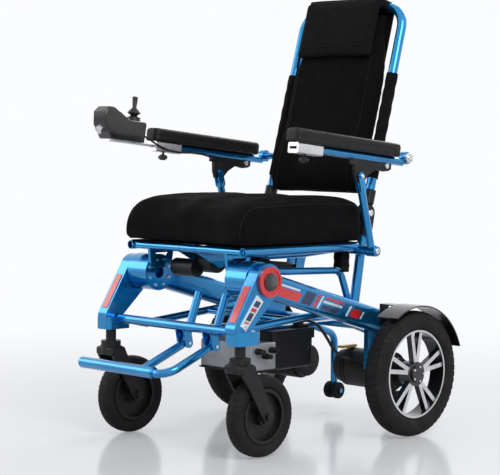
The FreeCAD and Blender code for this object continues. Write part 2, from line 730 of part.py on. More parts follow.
def hanger():
    """Flat bars under the frame, from the axle tube forward, that carry the battery and the power box."""
    bars = []
    for x in (-HANGER_X, HANGER_X):
        low_x = x - HANGER_WIDTH / 2
        high_x = low_x + HANGER_WIDTH
        front = POWER_FRONT_Y
        bar = box(at(low_x, front, BATTERY_HIGH), at(high_x, 0, BATTERY_HIGH + HANGER_DEPTH))
        foot = box(at(low_x, front + 20, POWER_HIGH), at(high_x, front + 50, BATTERY_HIGH))
        bars.append(bar.fuse(foot).cut(axle_cross_rod()).removeSplitter())
    return Part.Compound(bars)


def power_box():
    """The grey control unit in front of the battery, on its black foot plate."""
    low_x = POWER_X - POWER_WIDTH / 2
    back_y = POWER_FRONT_Y + POWER_LENGTH
    unit = rounded_box(at(low_x, POWER_FRONT_Y, POWER_LOW), at(low_x + POWER_WIDTH, back_y, POWER_HIGH), 4)
    high_x = low_x + POWER_WIDTH
    foot = box(at(low_x - 2, POWER_FRONT_Y - 2, POWER_LOW - 4), at(high_x + 2, back_y, POWER_LOW))
    return unit, foot


def power_plugs():
    """Round metal connectors on the near end of the power box."""
    plugs = []
    face_x = POWER_X + POWER_WIDTH / 2
    for n in range(PLUG_COUNT):
        y = POWER_FRONT_Y + 20 + n * 24
        z = POWER_HIGH - 18 - 13 * (n % 2)
        collar = disc(at(face_x, y, z), LEFT, PLUG_DIA, PLUG_LENGTH * 0.5)
        nose = disc(at(face_x + PLUG_LENGTH * 0.5, y, z), LEFT, PLUG_DIA - 4, PLUG_LENGTH * 0.5)
        plugs.append(collar.fuse(nose))
    return Part.Compound(plugs)


def battery_socket():
    """The hooded connector and its collar on the battery's near rear corner."""
    x = BATTERY_WIDTH / 2 - 30
    y = BATTERY_FRONT_Y + BATTERY_LENGTH - 26
    base = rounded_box(at(x - 20, y - 20, BATTERY_HIGH), at(x + 22, y + 20, BATTERY_HIGH + 8), 5, UP)
    tower = disc(at(x, y, BATTERY_HIGH + 8), UP, 28, 14)
    return base.fuse(tower).removeSplitter().cut(hanger()).cut(motor_cable())


def actuator_motor():
    return disc(at(-100, ACTUATOR_FRONT[0] - 26, ACTUATOR_FRONT[1] - 20), LEFT, 44, 76)


def actuator():
    """Electric push rod under the seat: gearbox, side motor, outer tube and rod."""
    front = at(0, *ACTUATOR_FRONT)
    rear = at(0, *ACTUATOR_REAR)
    along = (rear - front).normalize()
    gear = disc(front - LEFT * 24, LEFT, ACTUATOR_GEAR_DIA, 48)
    gear = gear.makeFillet(4, [e for e in gear.Edges if e.Curve.TypeId == "Part::GeomCircle"])
    tube_end = front + along * 190
    tube = rod(front + along * 20, tube_end, ACTUATOR_TUBE_DIA)
    push_rod = rod(tube_end, rear, ACTUATOR_ROD_DIA)
    body = gear.fuse(tube).removeSplitter()
    return body, actuator_motor().cut(gear), push_rod


def actuator_mounts():
    """Lug pairs that hold the actuator's two ends to the cross tubes."""
    plates = []
    front_top = (RAIL_FRONT_Y + 14, RAIL_Z)
    head_dia = 2 * (SEAT_LOW - SLING_DEPTH - RAIL_Z) - 1
    for x_low in (-31.0, 25.0):
        lug = link_plate((front_top, ACTUATOR_FRONT), (head_dia, 34), x_low, 6)
        plates.append(lug.cut(front_cross_rod()).cut(actuator_motor()))
    rear_top = (POST_LOW_Y, POST_LOW_Z)
    rear_low = (ACTUATOR_REAR[0], ACTUATOR_REAR[1])
    for x_low in (-18.0, 12.0):
        plates.append(link_plate((rear_top, rear_low), (34, 30), x_low, 6).cut(pivot_rod()))
    return plates


def arc_through(a, b, c):
    return Part.Arc(a, b, c).toShape()


def line(a, b):
    return Part.LineSegment(a, b).toShape()


def cushion_outline(x, tuck, crown):
    """One side outline of the seat cushion, drawn in by tuck, with its top raised by crown."""
    front = SEAT_FRONT_Y + tuck
    back = SEAT_BACK_Y - tuck
    low = SEAT_LOW + SEAT_GAP
    top = SEAT_HIGH - tuck
    front_low = at(x, front + 14, low)
    front_mid = at(x, front, low + 30)
    front_top = at(x, front + 42, top - 6)
    back_top = at(x, back - 16, top - 4)
    back_mid = at(x, back, top - 24)
    back_low = at(x, back - 6, low)
    edges = [line(back_low, front_low)]
    edges.append(arc_through(front_low, at(x, front + 3, low + 9), front_mid))
    edges.append(arc_through(front_mid, at(x, front + 9, top - 36), front_top))
    edges.append(arc_through(front_top, at(x, (front + back) / 2, top + crown), back_top))
    edges.append(arc_through(back_top, at(x, back - 4.5, top - 11), back_mid))
    edges.append(line(back_mid, back_low))
    return Part.Wire(edges)


def seat_cushion():
    half = SEAT_WIDTH / 2
    stations = ((-1.0, 20, 0), (-0.97, 8, 2), (-0.6, 1, 8), (0.0, 0, SEAT_CROWN),
                (0.6, 1, 8), (0.97, 8, 2), (1.0, 20, 0))
    sections = [cushion_outline(share * half, tuck, crown) for share, tuck, crown in stations]
    return Part.makeLoft(sections, True, False)


def seat_sling():
    return box(at(-RAIL_X - 6, RAIL_FRONT_Y + 8, SEAT_LOW - SLING_DEPTH),
               at(RAIL_X + 6, SEAT_BACK_Y - 22, SEAT_LOW))


def strut_frame(y, z):
    """A point given along and across the front leg, turned into (y, z)."""
    length = math.hypot(STRUT_FOOT_Y - HUB_Y, STRUT_FOOT_Z - HUB_Z)
    down = ((STRUT_FOOT_Y - HUB_Y) / length, (STRUT_FOOT_Z - HUB_Z) / length)
    ahead = (down[1], -down[0])
    return HUB_Y + down[0] * z + ahead[0] * y, HUB_Z + down[1] * z + ahead[1] * y


def strut():
    """The front leg: eye, tapering body and the shaft that turns in the hub barrel."""
    ends = ((HUB_Y, HUB_Z), (STRUT_FOOT_Y, STRUT_FOOT_Z))
    body = link_plate(ends, (STRUT_EYE_DIA, STRUT_DEPTH), STRUT_IN_X, STRUT_WIDTH)
    shaft = hub_solid(HUB_OUT_X - 2 * HUB_WALL - 2, STRUT_IN_X, HUB_SHAFT_DIA)
    return body.fuse(shaft).removeSplitter().cut(caster_housing_block())


def strut_length():
    return math.hypot(STRUT_FOOT_Y - HUB_Y, STRUT_FOOT_Z - HUB_Z)


def strut_trim():
    """The red front strip and the pale side panel on one front leg."""
    near = strut_length() * 0.30
    far = strut_length() * 0.97
    front_near = STRUT_EYE_DIA / 2 * 0.86
    front_far = STRUT_DEPTH / 2 + 0.4
    mid_x = STRUT_IN_X + STRUT_WIDTH / 2
    outline = [strut_frame(front_near, near), strut_frame(front_far, far)]
    outline += [strut_frame(front_far - 8, far), strut_frame(front_near - 8, near)]
    strip = plate([strut_frame(front_near + STRIP_DEPTH, near), strut_frame(front_far + STRIP_DEPTH, far),
                   strut_frame(front_far - 6, far), strut_frame(front_near - 6, near)],
                  mid_x - STRIP_WIDTH / 2, STRIP_WIDTH)
    panel_near = strut_length() * 0.34
    half = PANEL_WIDTH / 2
    panel = plate([strut_frame(half, panel_near), strut_frame(half - 2, far),
                   strut_frame(-half + 2, far), strut_frame(-half, panel_near)],
                  STRUT_IN_X + STRUT_WIDTH, PANEL_DEPTH)
    return strip.cut(strut()).cut(caster_housing_block()), panel.cut(hub_disc())


def hub_disc():
    base = hub_solid(STRUT_IN_X + STRUT_WIDTH, STRUT_IN_X + STRUT_WIDTH + DISC_DEPTH, DISC_DIA)
    outside = STRUT_IN_X + STRUT_WIDTH + DISC_DEPTH
    face = hub_solid(outside - 2, outside, DISC_DIA - 14)
    return base.cut(face)


def caster_housing_block():
    low = at(STEM_X - HOUSING_WIDTH / 2, STEM_Y - HOUSING_LENGTH / 2 + 8, HOUSING_LOW)
    high = at(STEM_X + HOUSING_WIDTH / 2, STEM_Y + HOUSING_LENGTH / 2 + 8, HOUSING_HIGH)
    return rounded_box(low, high, HOUSING_CORNER, UP)


def caster_housing():
    bore = disc(at(STEM_X, STEM_Y, HOUSING_LOW), UP, STEM_DIA + 2 * FIT, 24)
    return caster_housing_block().cut(bore)


def crossbar_rod():
    reach = STEM_X - HOUSING_WIDTH / 2
    return rod(at(-reach, CROSSBAR_Y, CROSSBAR_Z), at(reach, CROSSBAR_Y, CROSSBAR_Z), CROSSBAR_DIA)


def foot_ears():
    """Ear pairs under the crossbar with the bolts that the foot bar turns on."""
    ears = []
    pins = []
    for leg_x in (FOOT_X_LOW, FOOT_X_HIGH):
        gap = FOOT_LEG_DIA / 2 + GAP
        ends = ((CROSSBAR_Y, CROSSBAR_Z), (FOOT_PIVOT_Y, FOOT_PIVOT_Z))
        for x_low in (leg_x - gap - FOOT_EAR, leg_x + gap):
            ears.append(link_plate(ends, (CROSSBAR_DIA, FOOT_EAR_WIDTH), x_low, FOOT_EAR).cut(crossbar_rod()))
        reach = gap + FOOT_EAR + 3
        pins.append(disc(at(leg_x - reach, FOOT_PIVOT_Y, FOOT_PIVOT_Z), LEFT, FOOT_PIN_DIA, 2 * reach))
    bolts = [ear.cut(Part.Compound(pins)) for ear in ears]
    return bolts, pins


def link_ears():
    """Ear pairs behind the crossbar for the two link tubes."""
    ears = []
    inner = 4 + GAP
    ends = ((CROSSBAR_Y, CROSSBAR_Z), (LINK_PIVOT_Y, LINK_PIVOT_Z))
    for x_low in (LINK_X - inner - LINK_EAR, LINK_X + inner):
        ears.append(link_plate(ends, (CROSSBAR_DIA, 20), x_low, LINK_EAR).cut(crossbar_rod()))
    reach = inner + LINK_EAR
    pin = disc(at(LINK_X - reach, LINK_PIVOT_Y, LINK_PIVOT_Z), LEFT, LINK_PIN_DIA, 2 * reach)
    return [ear.cut(pin) for ear in ears], pin


def link_frame():
    """The lower link tubes with their front eyes and the cross tube between them."""
    rise = math.atan2(LINK_REAR_Z - LINK_PIVOT_Z, LINK_REAR_Y - LINK_PIVOT_Y)
    tube_y = LINK_PIVOT_Y + 26
    start = at(LINK_X, tube_y, LINK_PIVOT_Z + 26 * math.tan(rise))
    end = at(LINK_X, LINK_REAR_Y, LINK_REAR_Z)
    tube = straight_tube(start, end, LINK_DIA)
    eye = link_plate(((LINK_PIVOT_Y, LINK_PIVOT_Z), (tube_y + 6, start.z + 1)), (18, 16), LINK_X - 4, 8)
    eye = eye.cut(disc(at(LINK_X - 4, LINK_PIVOT_Y, LINK_PIVOT_Z), LEFT, LINK_PIN_DIA + 2 * FIT, 8))
    cross_z = LINK_PIVOT_Z + (LINK_CROSS_Y - LINK_PIVOT_Y) * math.tan(rise)
    cross_ends = at(-LINK_X, LINK_CROSS_Y, cross_z), at(LINK_X, LINK_CROSS_Y, cross_z)
    cross_dia = LINK_DIA - 3
    cross = hollowed(rod(*cross_ends, cross_dia), *cross_ends, cross_dia)
    side = tube.fuse(eye).removeSplitter()
    whole_sides = both(rod(start, end, LINK_DIA))
    return side, cross.cut(whole_sides)


def tyre(centre, outer_dia, inner_dia, width, shoulder):
    """A tyre ring about X with rounded shoulders."""
    left = centre - at(width / 2, 0, 0)
    ring = disc(left, LEFT, outer_dia, width)
    ring = ring.makeFillet(shoulder, [e for e in ring.Edges if e.Curve.TypeId == "Part::GeomCircle"])
    return ring.cut(disc(left, LEFT, inner_dia, width))


def wheel_centre():
    return at(WHEEL_TRACK / 2, 0, WHEEL_DIA / 2)


def rear_tyre():
    return tyre(wheel_centre(), WHEEL_DIA, RIM_DIA, TYRE_WIDTH, TYRE_SHOULDER)


def rear_rim():
    """Alloy rim with paired spokes, hub, cap and the shaft that runs into the motor."""
    centre = wheel_centre()
    left = centre - at(RIM_WIDTH / 2, 0, 0)
    rim = disc(left, LEFT, RIM_DIA, RIM_WIDTH).cut(disc(left, LEFT, RIM_DIA - 2 * RIM_WALL, RIM_WIDTH))
    hub_in = centre - at(14, 0, 0)
    hub = disc(hub_in, LEFT, WHEEL_HUB_DIA, RIM_WIDTH / 2 + 12)
    spokes = []
    reach = RIM_DIA / 2 - RIM_WALL / 2
    for n in range(SPOKE_COUNT):
        for side in (-1, 1):
            turn = n * 360 / SPOKE_COUNT + side * SPOKE_PAIR_TURN
            low_x = centre.x + 2
            bar = box(at(low_x, -SPOKE_WIDTH / 2, 0), at(low_x + SPOKE_DEPTH, SPOKE_WIDTH / 2, reach))
            bar.translate(at(0, side * SPOKE_WIDTH * 0.25, centre.z))
            bar.rotate(centre, LEFT, turn)
            spokes.append(bar)
    spokes = [s.common(disc(left, LEFT, RIM_DIA - RIM_WALL, RIM_WIDTH)) for s in spokes]
    wheel = rim.fuse(spokes + [hub]).removeSplitter()
    shaft_in = MOTOR_OUT_X - AXLE_SEAT + 1
    shaft = rod(at(shaft_in, 0, centre.z), at(centre.x, 0, centre.z), AXLE_DIA)
    cap_x = hub_in.x + RIM_WIDTH / 2 + 12
    cap = disc(at(cap_x, 0, centre.z), LEFT, WHEEL_CAP_DIA, WHEEL_CAP_DEPTH)
    cap = cap.makeFillet(2, [e for e in cap.Edges if abs(e.BoundBox.XMin - cap_x - WHEEL_CAP_DEPTH) < 0.01])
    return wheel.fuse([shaft, cap]).removeSplitter()


def caster_axle(x_offset=0.0):
    return at(STEM_X + x_offset, STEM_Y + CASTER_TRAIL, CASTER_DIA / 2)


def caster_fork():
    """Stem, collar, crown and two blades, with the bolt through the wheel."""
    inner = CASTER_WIDTH / 2 + 3
    stem = disc(at(STEM_X, STEM_Y, FORK_TOP), UP, STEM_DIA, HOUSING_LOW + 22 - FORK_TOP)
    collar = disc(at(STEM_X, STEM_Y, FORK_TOP), UP, COLLAR_DIA, HOUSING_LOW - GAP - FORK_TOP)
    crown = disc(at(STEM_X, STEM_Y, FORK_CROWN_LOW), UP, FORK_CROWN_DIA, FORK_TOP - FORK_CROWN_LOW)
    bridge = rounded_box(at(STEM_X - inner - FORK_BLADE, STEM_Y - 24, FORK_CROWN_LOW - 2),
                         at(STEM_X + inner + FORK_BLADE, STEM_Y + 24, FORK_CROWN_LOW + 18), 5)
    ends = ((STEM_Y + 3, FORK_CROWN_LOW + 2), (STEM_Y + CASTER_TRAIL, CASTER_DIA / 2))
    blades = []
    for x_low in (STEM_X - inner - FORK_BLADE, STEM_X + inner):
        blades.append(link_plate(ends, (FORK_BLADE_WIDTH + 8, FORK_BLADE_WIDTH), x_low, FORK_BLADE))
    reach = inner + FORK_BLADE
    bolt = disc(caster_axle(-reach), LEFT, CASTER_BOLT_DIA, 2 * reach)
    nuts = [disc(caster_axle(-reach - CASTER_NUT_DEPTH), LEFT, CASTER_NUT_DIA, CASTER_NUT_DEPTH)]
    nuts.append(disc(caster_axle(reach), LEFT, CASTER_NUT_DIA, CASTER_NUT_DEPTH))
    return crown.fuse([stem, collar, bridge, bolt] + blades + nuts).removeSplitter()


def caster_tyre():
    return tyre(caster_axle(), CASTER_DIA, CASTER_RIM_DIA, CASTER_WIDTH, CASTER_SHOULDER)


def caster_wheel():
    """Moulded caster centre: hub, web and rim ring, bored for the bolt."""
    half = CASTER_WIDTH / 2
    hub = disc(caster_axle(-half - 2), LEFT, CASTER_HUB_DIA, CASTER_WIDTH + 4)
    web = disc(caster_axle(-CASTER_WEB / 2), LEFT, CASTER_RIM_DIA - 2, CASTER_WEB)
    ring = disc(caster_axle(-half + 3), LEFT, CASTER_RIM_DIA, CASTER_WIDTH - 6)
    ring = ring.cut(disc(caster_axle(-half), LEFT, CASTER_RIM_DIA - 16, CASTER_WIDTH))
    wheel = hub.fuse([web, ring]).removeSplitter()
    return wheel.cut(disc(caster_axle(-half - 2), LEFT, CASTER_BOLT_DIA + 2 * FIT, CASTER_WIDTH + 4))


def foot_sleeve_rod():
    end = at(FOOT_BAR_END_X, FOOT_BAR_Y, FOOT_BAR_Z)
    return rod(end, at(FOOT_RING_X, FOOT_BAR_Y, FOOT_BAR_Z), FOOT_SLEEVE_DIA)


def foot_frame():
    """The bent leg that becomes the foot bar, and the second leg that meets it."""
    pins = foot_ears()[1]
    solids = []
    for leg_x in (FOOT_X_HIGH, FOOT_X_LOW):
        points = [at(leg_x, FOOT_TOP_Y, FOOT_TOP_Z), at(leg_x, FOOT_PIVOT_Y, FOOT_PIVOT_Z)]
        points.append(at(leg_x, FOOT_BAR_Y, FOOT_BAR_Z))
        if leg_x == FOOT_X_HIGH:
            points.append(at(FOOT_BAR_END_X + 6, FOOT_BAR_Y, FOOT_BAR_Z))
        leg = bent_rod(points, FOOT_LEG_DIA, 36)
        core = bent_rod(points, FOOT_LEG_DIA - 2 * TUBE_WALL, 36)
        if leg_x == FOOT_X_LOW:
            leg = leg.cut(foot_sleeve_rod())
            core = core.cut(foot_sleeve_rod())
        web = disc(at(leg_x - FOOT_LEG_DIA / 2, FOOT_PIVOT_Y, FOOT_PIVOT_Z), LEFT, 18, FOOT_LEG_DIA)
        hole = disc(at(leg_x - 40, FOOT_PIVOT_Y, FOOT_PIVOT_Z), LEFT, FOOT_PIN_DIA + 2 * FIT, 80)
        leg = leg.cut(core).fuse(web.common(leg)).removeSplitter()
        solids.append(leg.cut(hole))
    return solids


def foot_sleeve():
    """The thick sleeve over the foot bar with its silver end ring."""
    sleeve = foot_sleeve_rod().cut(rod(at(FOOT_BAR_END_X + 5.9, FOOT_BAR_Y, FOOT_BAR_Z),
                                       at(FOOT_RING_X, FOOT_BAR_Y, FOOT_BAR_Z), FOOT_LEG_DIA))
    end_edges = [e for e in sleeve.Edges if abs(e.BoundBox.XMax - FOOT_BAR_END_X) < 0.01]
    sleeve = sleeve.makeFillet(7, end_edges)
    ring = rod(at(FOOT_RING_X, FOOT_BAR_Y, FOOT_BAR_Z),
               at(FOOT_RING_X + FOOT_RING_LENGTH, FOOT_BAR_Y, FOOT_BAR_Z), FOOT_SLEEVE_DIA - 3)
    ring = ring.cut(rod(at(FOOT_RING_X, FOOT_BAR_Y, FOOT_BAR_Z), at(FOOT_RING_X + 9, FOOT_BAR_Y, FOOT_BAR_Z),
                        FOOT_LEG_DIA))
    return sleeve, ring


def up_back(height):
    """The world Z that lies a given height up the back before it leans."""
    return FOLD_Z + height


BACK_LENGTH = (BACK_HIGH - BACK_TUBE_DIA / 2 - FOLD_Z) / math.cos(math.radians(BACK_RECLINE))


def back_tube_rod(diameter):
    z_low = up_back(BACK_SOCKET)
    z_top = up_back(BACK_LENGTH)
    points = [at(-BACK_TUBE_X, FOLD_Y, z_low), at(-BACK_TUBE_X, FOLD_Y, z_top)]
    points += [at(BACK_TUBE_X, FOLD_Y, z_top), at(BACK_TUBE_X, FOLD_Y, z_low)]
    return bent_rod(points, diameter, BACK_CORNER)


def back_tube():
    return back_tilted(back_tube_rod(BACK_TUBE_DIA).cut(back_tube_rod(BACK_TUBE_DIA - 2 * TUBE_WALL)))


def upper_knuckle():
    """The tongue in the clevis and the socket round the foot of the back tube."""
    x_low = BACK_TUBE_X - KNUCKLE_WIDTH / 2
    ends = ((FOLD_Y, FOLD_Z), (FOLD_Y, up_back(BACK_SOCKET)))
    tongue = link_plate(ends, (KNUCKLE_DIA - 6, BACK_TUBE_DIA), x_low, KNUCKLE_WIDTH)
    socket = disc(at(BACK_TUBE_X, FOLD_Y, up_back(KNUCKLE_DIA / 2 + 3)), UP, BACK_TUBE_DIA + 8, 36)
    body = tongue.fuse(socket).removeSplitter()
    body = body.cut(disc(at(BACK_TUBE_X, FOLD_Y, up_back(BACK_SOCKET)), UP, BACK_TUBE_DIA, 60))
    body = body.cut(disc(at(0, FOLD_Y, FOLD_Z), LEFT, KNUCKLE_PIN_DIA + 2 * FIT, 400))
    return back_tilted(body)


def pad_section(z, width, depth, crown):
    """One level outline of the back cushion, its front bowed by crown."""
    half = width / 2
    back = FOLD_Y + 8
    front = FOLD_Y - depth + 14
    corner = 11
    points = [at(-half + 6, back, z), at(half - 6, back, z), at(half, back - 6, z), at(half, front + corner, z)]
    points += [at(half - corner, front, z), at(-half + corner, front, z)]
    points += [at(-half, front + corner, z), at(-half, back - 6, z)]
    edges = [line(points[0], points[1])]
    edges.append(arc_through(points[1], at(half - 1.5, back - 2, z), points[2]))
    edges.append(line(points[2], points[3]))
    edges.append(arc_through(points[3], at(half - corner * 0.3, front + corner * 0.3, z), points[4]))
    edges.append(arc_through(points[4], at(0, front - crown, z), points[5]))
    edges.append(arc_through(points[5], at(-half + corner * 0.3, front + corner * 0.3, z), points[6]))
    edges.append(line(points[6], points[7]))
    edges.append(arc_through(points[7], at(-half + 1.5, back - 2, z), points[0]))
    return Part.Wire(edges)


def back_cushion():
    """The padded back between the tubes, narrower at the top."""
    low = up_back((BACK_PAD_LOW - FOLD_Z) / math.cos(math.radians(BACK_RECLINE)))
    top = up_back(BACK_LENGTH - BACK_TUBE_DIA / 2 - 2)
    span = top - low
    wide = 2 * (BACK_TUBE_X - BACK_TUBE_DIA / 2 - SLEEVE_WALL - SEAT_GAP)
    stations = ((0.0, wide - 10, BACK_PAD_DEPTH - 12, 1), (0.03, wide, BACK_PAD_DEPTH - 3, 4),
                (0.35, wide, BACK_PAD_DEPTH, 6), (0.62, wide, BACK_PAD_DEPTH, 6),
                (0.82, BACK_PAD_TOP_WIDTH + 18, BACK_PAD_DEPTH - 4, 5),
                (1.0, BACK_PAD_TOP_WIDTH, BACK_PAD_DEPTH - 14, 2))
    sections = [pad_section(low + share * span, w, d, c) for share, w, d, c in stations]
    clear = back_tube_rod(BACK_TUBE_DIA + 8 + 2 * SEAT_GAP)
    return back_tilted(Part.makeLoft(sections, True, False).cut(clear))


def tube_sleeve():
    """The black fabric tunnel round one side tube."""
    start = at(BACK_TUBE_X, FOLD_Y, up_back(SLEEVE_LOW))
    end = at(BACK_TUBE_X, FOLD_Y, up_back(SLEEVE_HIGH))
    tunnel = rod(start, end, BACK_TUBE_DIA + 2 * SLEEVE_WALL).cut(rod(start, end, BACK_TUBE_DIA))
    hole = rod(at(0, ARM_PIVOT_Y, ARM_PIVOT_Z), at(ARM_X, ARM_PIVOT_Y, ARM_PIVOT_Z), ARM_PIVOT_DIA + 2 * SEAT_GAP)
    return back_tilted(tunnel).cut(hole)


def back_panel():
    """The stretched fabric behind the cushion."""
    low = up_back(SLEEVE_LOW)
    high = up_back(BACK_LENGTH - BACK_TUBE_DIA / 2 - 2)
    y = FOLD_Y + 8
    outline = box(at(-BACK_PAD_TOP_WIDTH / 2, y, low), at(BACK_PAD_TOP_WIDTH / 2, y + 3, high))
    return back_tilted(outline)


def head_pillow():
    """The pillow flap that hangs from the top tube, in front of the cushion."""
    top = up_back(BACK_LENGTH)
    hood_dia = BACK_TUBE_DIA + 2 * SLEEVE_WALL + 2 * SEAT_GAP
    half = PILLOW_WIDTH / 2
    front = FOLD_Y - BACK_PAD_DEPTH - 7 - PILLOW_DEPTH + 14
    slab = rounded_box(at(-half, front, top - PILLOW_HEIGHT), at(half, front + PILLOW_DEPTH, top + 4), 8)
    hood = disc(at(-half, FOLD_Y, top), LEFT, hood_dia, PILLOW_WIDTH)
    web = box(at(-half, front + 10, top - 8), at(half, FOLD_Y, top + hood_dia / 2))
    pillow = slab.fuse([hood, web]).removeSplitter()
    pillow = pillow.cut(back_tube_rod(BACK_TUBE_DIA + 2 * SEAT_GAP))
    return back_tilted(pillow)


def pad_bottom():
    return PAD_REAR_TOP - PAD_DEPTH


def arm_tube_z():
    """Height of the armrest tube before the armrest's slope."""
    return pad_bottom() - ARM_TUBE_DIA / 2


def arm_pad():
    low = at(ARM_X - PAD_WIDTH / 2, PAD_REAR_Y - PAD_LENGTH, pad_bottom())
    high = at(ARM_X + PAD_WIDTH / 2, PAD_REAR_Y, PAD_REAR_TOP)
    block = rounded_box(low, high, 14, UP)
    top_edges = [e for e in block.Edges if e.BoundBox.ZMin > PAD_REAR_TOP - 0.01]
    return arm_tilted(block.makeFillet(7, top_edges))


def arm_pivot_eye(x_low, depth):
    return disc(at(x_low, ARM_PIVOT_Y, ARM_PIVOT_Z), LEFT, ARM_PIVOT_DIA + 14, depth)


def arm_frame():
    """Armrest tube with its rear eye, the slotted clamp block in front and the black hinge bracket."""
    z = arm_tube_z()
    rear_y = ARM_PIVOT_Y - 8
    tube = straight_tube(at(ARM_X, CLAMP_REAR_Y, z), at(ARM_X, rear_y, z), ARM_TUBE_DIA)
    tube = arm_tilted(tube).cut(arm_pivot_eye(ARM_X - 40, 80))
    eye = arm_pivot_eye(ARM_X - 8, 16)
    eye = eye.cut(disc(at(ARM_X - 8, ARM_PIVOT_Y, ARM_PIVOT_Z), LEFT, ARM_PIVOT_DIA + 2 * FIT, 16))
    eye = eye.cut(arm_pad())
    return tube, eye


def slot_z():
    return pad_bottom() - CLAMP_HEIGHT / 2


def arm_clamp():
    """Aluminium block with a flat slot for an accessory bar and a threaded boss for the knob."""
    low = at(ARM_X - CLAMP_WIDTH / 2, CLAMP_FRONT_Y, pad_bottom() - CLAMP_HEIGHT)
    high = at(ARM_X + CLAMP_WIDTH / 2, CLAMP_REAR_Y, pad_bottom())
    block = rounded_box(low, high, 4, BACK)
    slot = box(at(ARM_X - BAR_WIDTH / 2 - GAP, CLAMP_FRONT_Y, slot_z() - BAR_DEPTH / 2 - GAP),
               at(ARM_X + BAR_WIDTH / 2 + GAP, CLAMP_FRONT_Y + SLOT_DEPTH, slot_z() + BAR_DEPTH / 2 + GAP))
    screw_hole = disc(at(ARM_X, CLAMP_FRONT_Y + 40, low.z), UP, KNOB_SCREW_DIA + 2 * FIT, 12)
    return arm_tilted(block.cut(slot).cut(screw_hole))


def clamp_knob():
    """Wing knob under the clamp, on its own screw."""
    low_z = pad_bottom() - CLAMP_HEIGHT
    y = CLAMP_FRONT_Y + 40
    screw = disc(at(ARM_X, y, low_z - 6), UP, KNOB_SCREW_DIA, 12)
    head = disc(at(ARM_X, y, low_z - 6 - KNOB_HEIGHT), UP, KNOB_DIA * 0.62, KNOB_HEIGHT)
    wings = rounded_box(at(ARM_X - KNOB_DIA / 2 - 3, y - 4, low_z - 6 - KNOB_HEIGHT + 2),
                        at(ARM_X + KNOB_DIA / 2 + 3, y + 4, low_z - 8), 3)
    return arm_tilted(head.fuse([wings, screw]).removeSplitter())


def arm_bracket():
    """Black plate from under the tube down to the front post's bolt."""
    z = arm_tube_z() - ARM_TUBE_DIA / 2 + 3
    front_y = POST_TOP_Y - 26
    rear_y = POST_TOP_Y + 124
    top = arm_tilted(plate([(rear_y, z), (front_y, z), (front_y, z - 16), (rear_y, z - 16)],
                           ARM_X - ARM_BRACKET_WIDTH / 2, ARM_BRACKET_WIDTH))
    outline = []
    for along, above in BRACKET_LUG_POINTS:
        outline.append((POST_TOP_Y + along, POST_TOP_Z + above))
    lug = plate(outline, ARM_X - ARM_BRACKET_WIDTH / 2, ARM_BRACKET_WIDTH)
    body = top.fuse(lug).removeSplitter()
    z_tube = arm_tube_z()
    tube = arm_tilted(rod(at(ARM_X, CLAMP_REAR_Y, z_tube), at(ARM_X, ARM_PIVOT_Y, z_tube), ARM_TUBE_DIA))
    return body.cut(tube)


def bracket_bolts():
    """Bolt heads at the bracket's rear, on both faces."""
    heads = []
    for x_low in (ARM_X - ARM_BRACKET_WIDTH / 2 - 4, ARM_X + ARM_BRACKET_WIDTH / 2):
        heads.append(disc(at(x_low, POST_TOP_Y + BRACKET_BOLT_ALONG, POST_TOP_Z + BRACKET_BOLT_ABOVE), LEFT, 13, 4))
    return heads


def post_eye_half():
    return POST_DIA / 2 + 0.5


def arm_post():
    """Front post: lower eye, tube and the yoke beside the bracket."""
    half_yoke = ARM_BRACKET_WIDTH / 2 + BODY_GAP / 2
    cheek = 4.0
    run = at(0, POST_TOP_Y - POST_LOW_Y, POST_TOP_Z - POST_LOW_Z)
    along = at(run.x, run.y, run.z).normalize()
    low = at(ARM_X, POST_LOW_Y, POST_LOW_Z)
    top = low + along * (run.Length - 32)
    tube = straight_tube(low, top, POST_DIA)
    plug = rod(top - along * 8, top + along * 4, POST_DIA)
    eye = disc(at(ARM_X - post_eye_half(), POST_LOW_Y, POST_LOW_Z), LEFT, POST_DIA + 8, 2 * post_eye_half())
    ends = ((POST_TOP_Y, POST_TOP_Z), (top.y, top.z))
    cheeks = []
    for x_low in (ARM_X - half_yoke - cheek, ARM_X + half_yoke):
        cheeks.append(link_plate(ends, (20, 20), x_low, cheek))
    heads = [disc(at(ARM_X - half_yoke - cheek - 3, POST_TOP_Y, POST_TOP_Z), LEFT, 12, 3)]
    heads.append(disc(at(ARM_X + half_yoke + cheek, POST_TOP_Y, POST_TOP_Z), LEFT, 12, 3))
    post = tube.fuse([plug, eye] + cheeks + heads).removeSplitter()
    return post.cut(disc(at(ARM_X - 20, POST_LOW_Y, POST_LOW_Z), LEFT, PIVOT_SHAFT_DIA + 2 * FIT, 40))


def pivot_tube():
    """Cross tube behind the seat with its end shafts and silver caps."""
    reach = ARM_X - 10 - BODY_GAP
    tube = hollowed(pivot_rod(), at(-reach, POST_LOW_Y, POST_LOW_Z), at(reach, POST_LOW_Y, POST_LOW_Z), RAIL_DIA)
    ends = []
    end_x = ARM_X + post_eye_half() + GAP
    plug = disc(at(reach - 8, POST_LOW_Y, POST_LOW_Z), LEFT, RAIL_DIA - 2 * TUBE_WALL, 8)
    shaft = disc(at(reach, POST_LOW_Y, POST_LOW_Z), LEFT, PIVOT_SHAFT_DIA, end_x - reach)
    cap = disc(at(end_x, POST_LOW_Y, POST_LOW_Z), LEFT, CAP_DIA, CAP_DEPTH)
    cap = cap.makeFillet(2, [e for e in cap.Edges if abs(e.BoundBox.XMin - end_x - CAP_DEPTH) < 0.01])
    ends.append(plug.fuse([shaft, cap]).removeSplitter())
    return tube, ends[0]


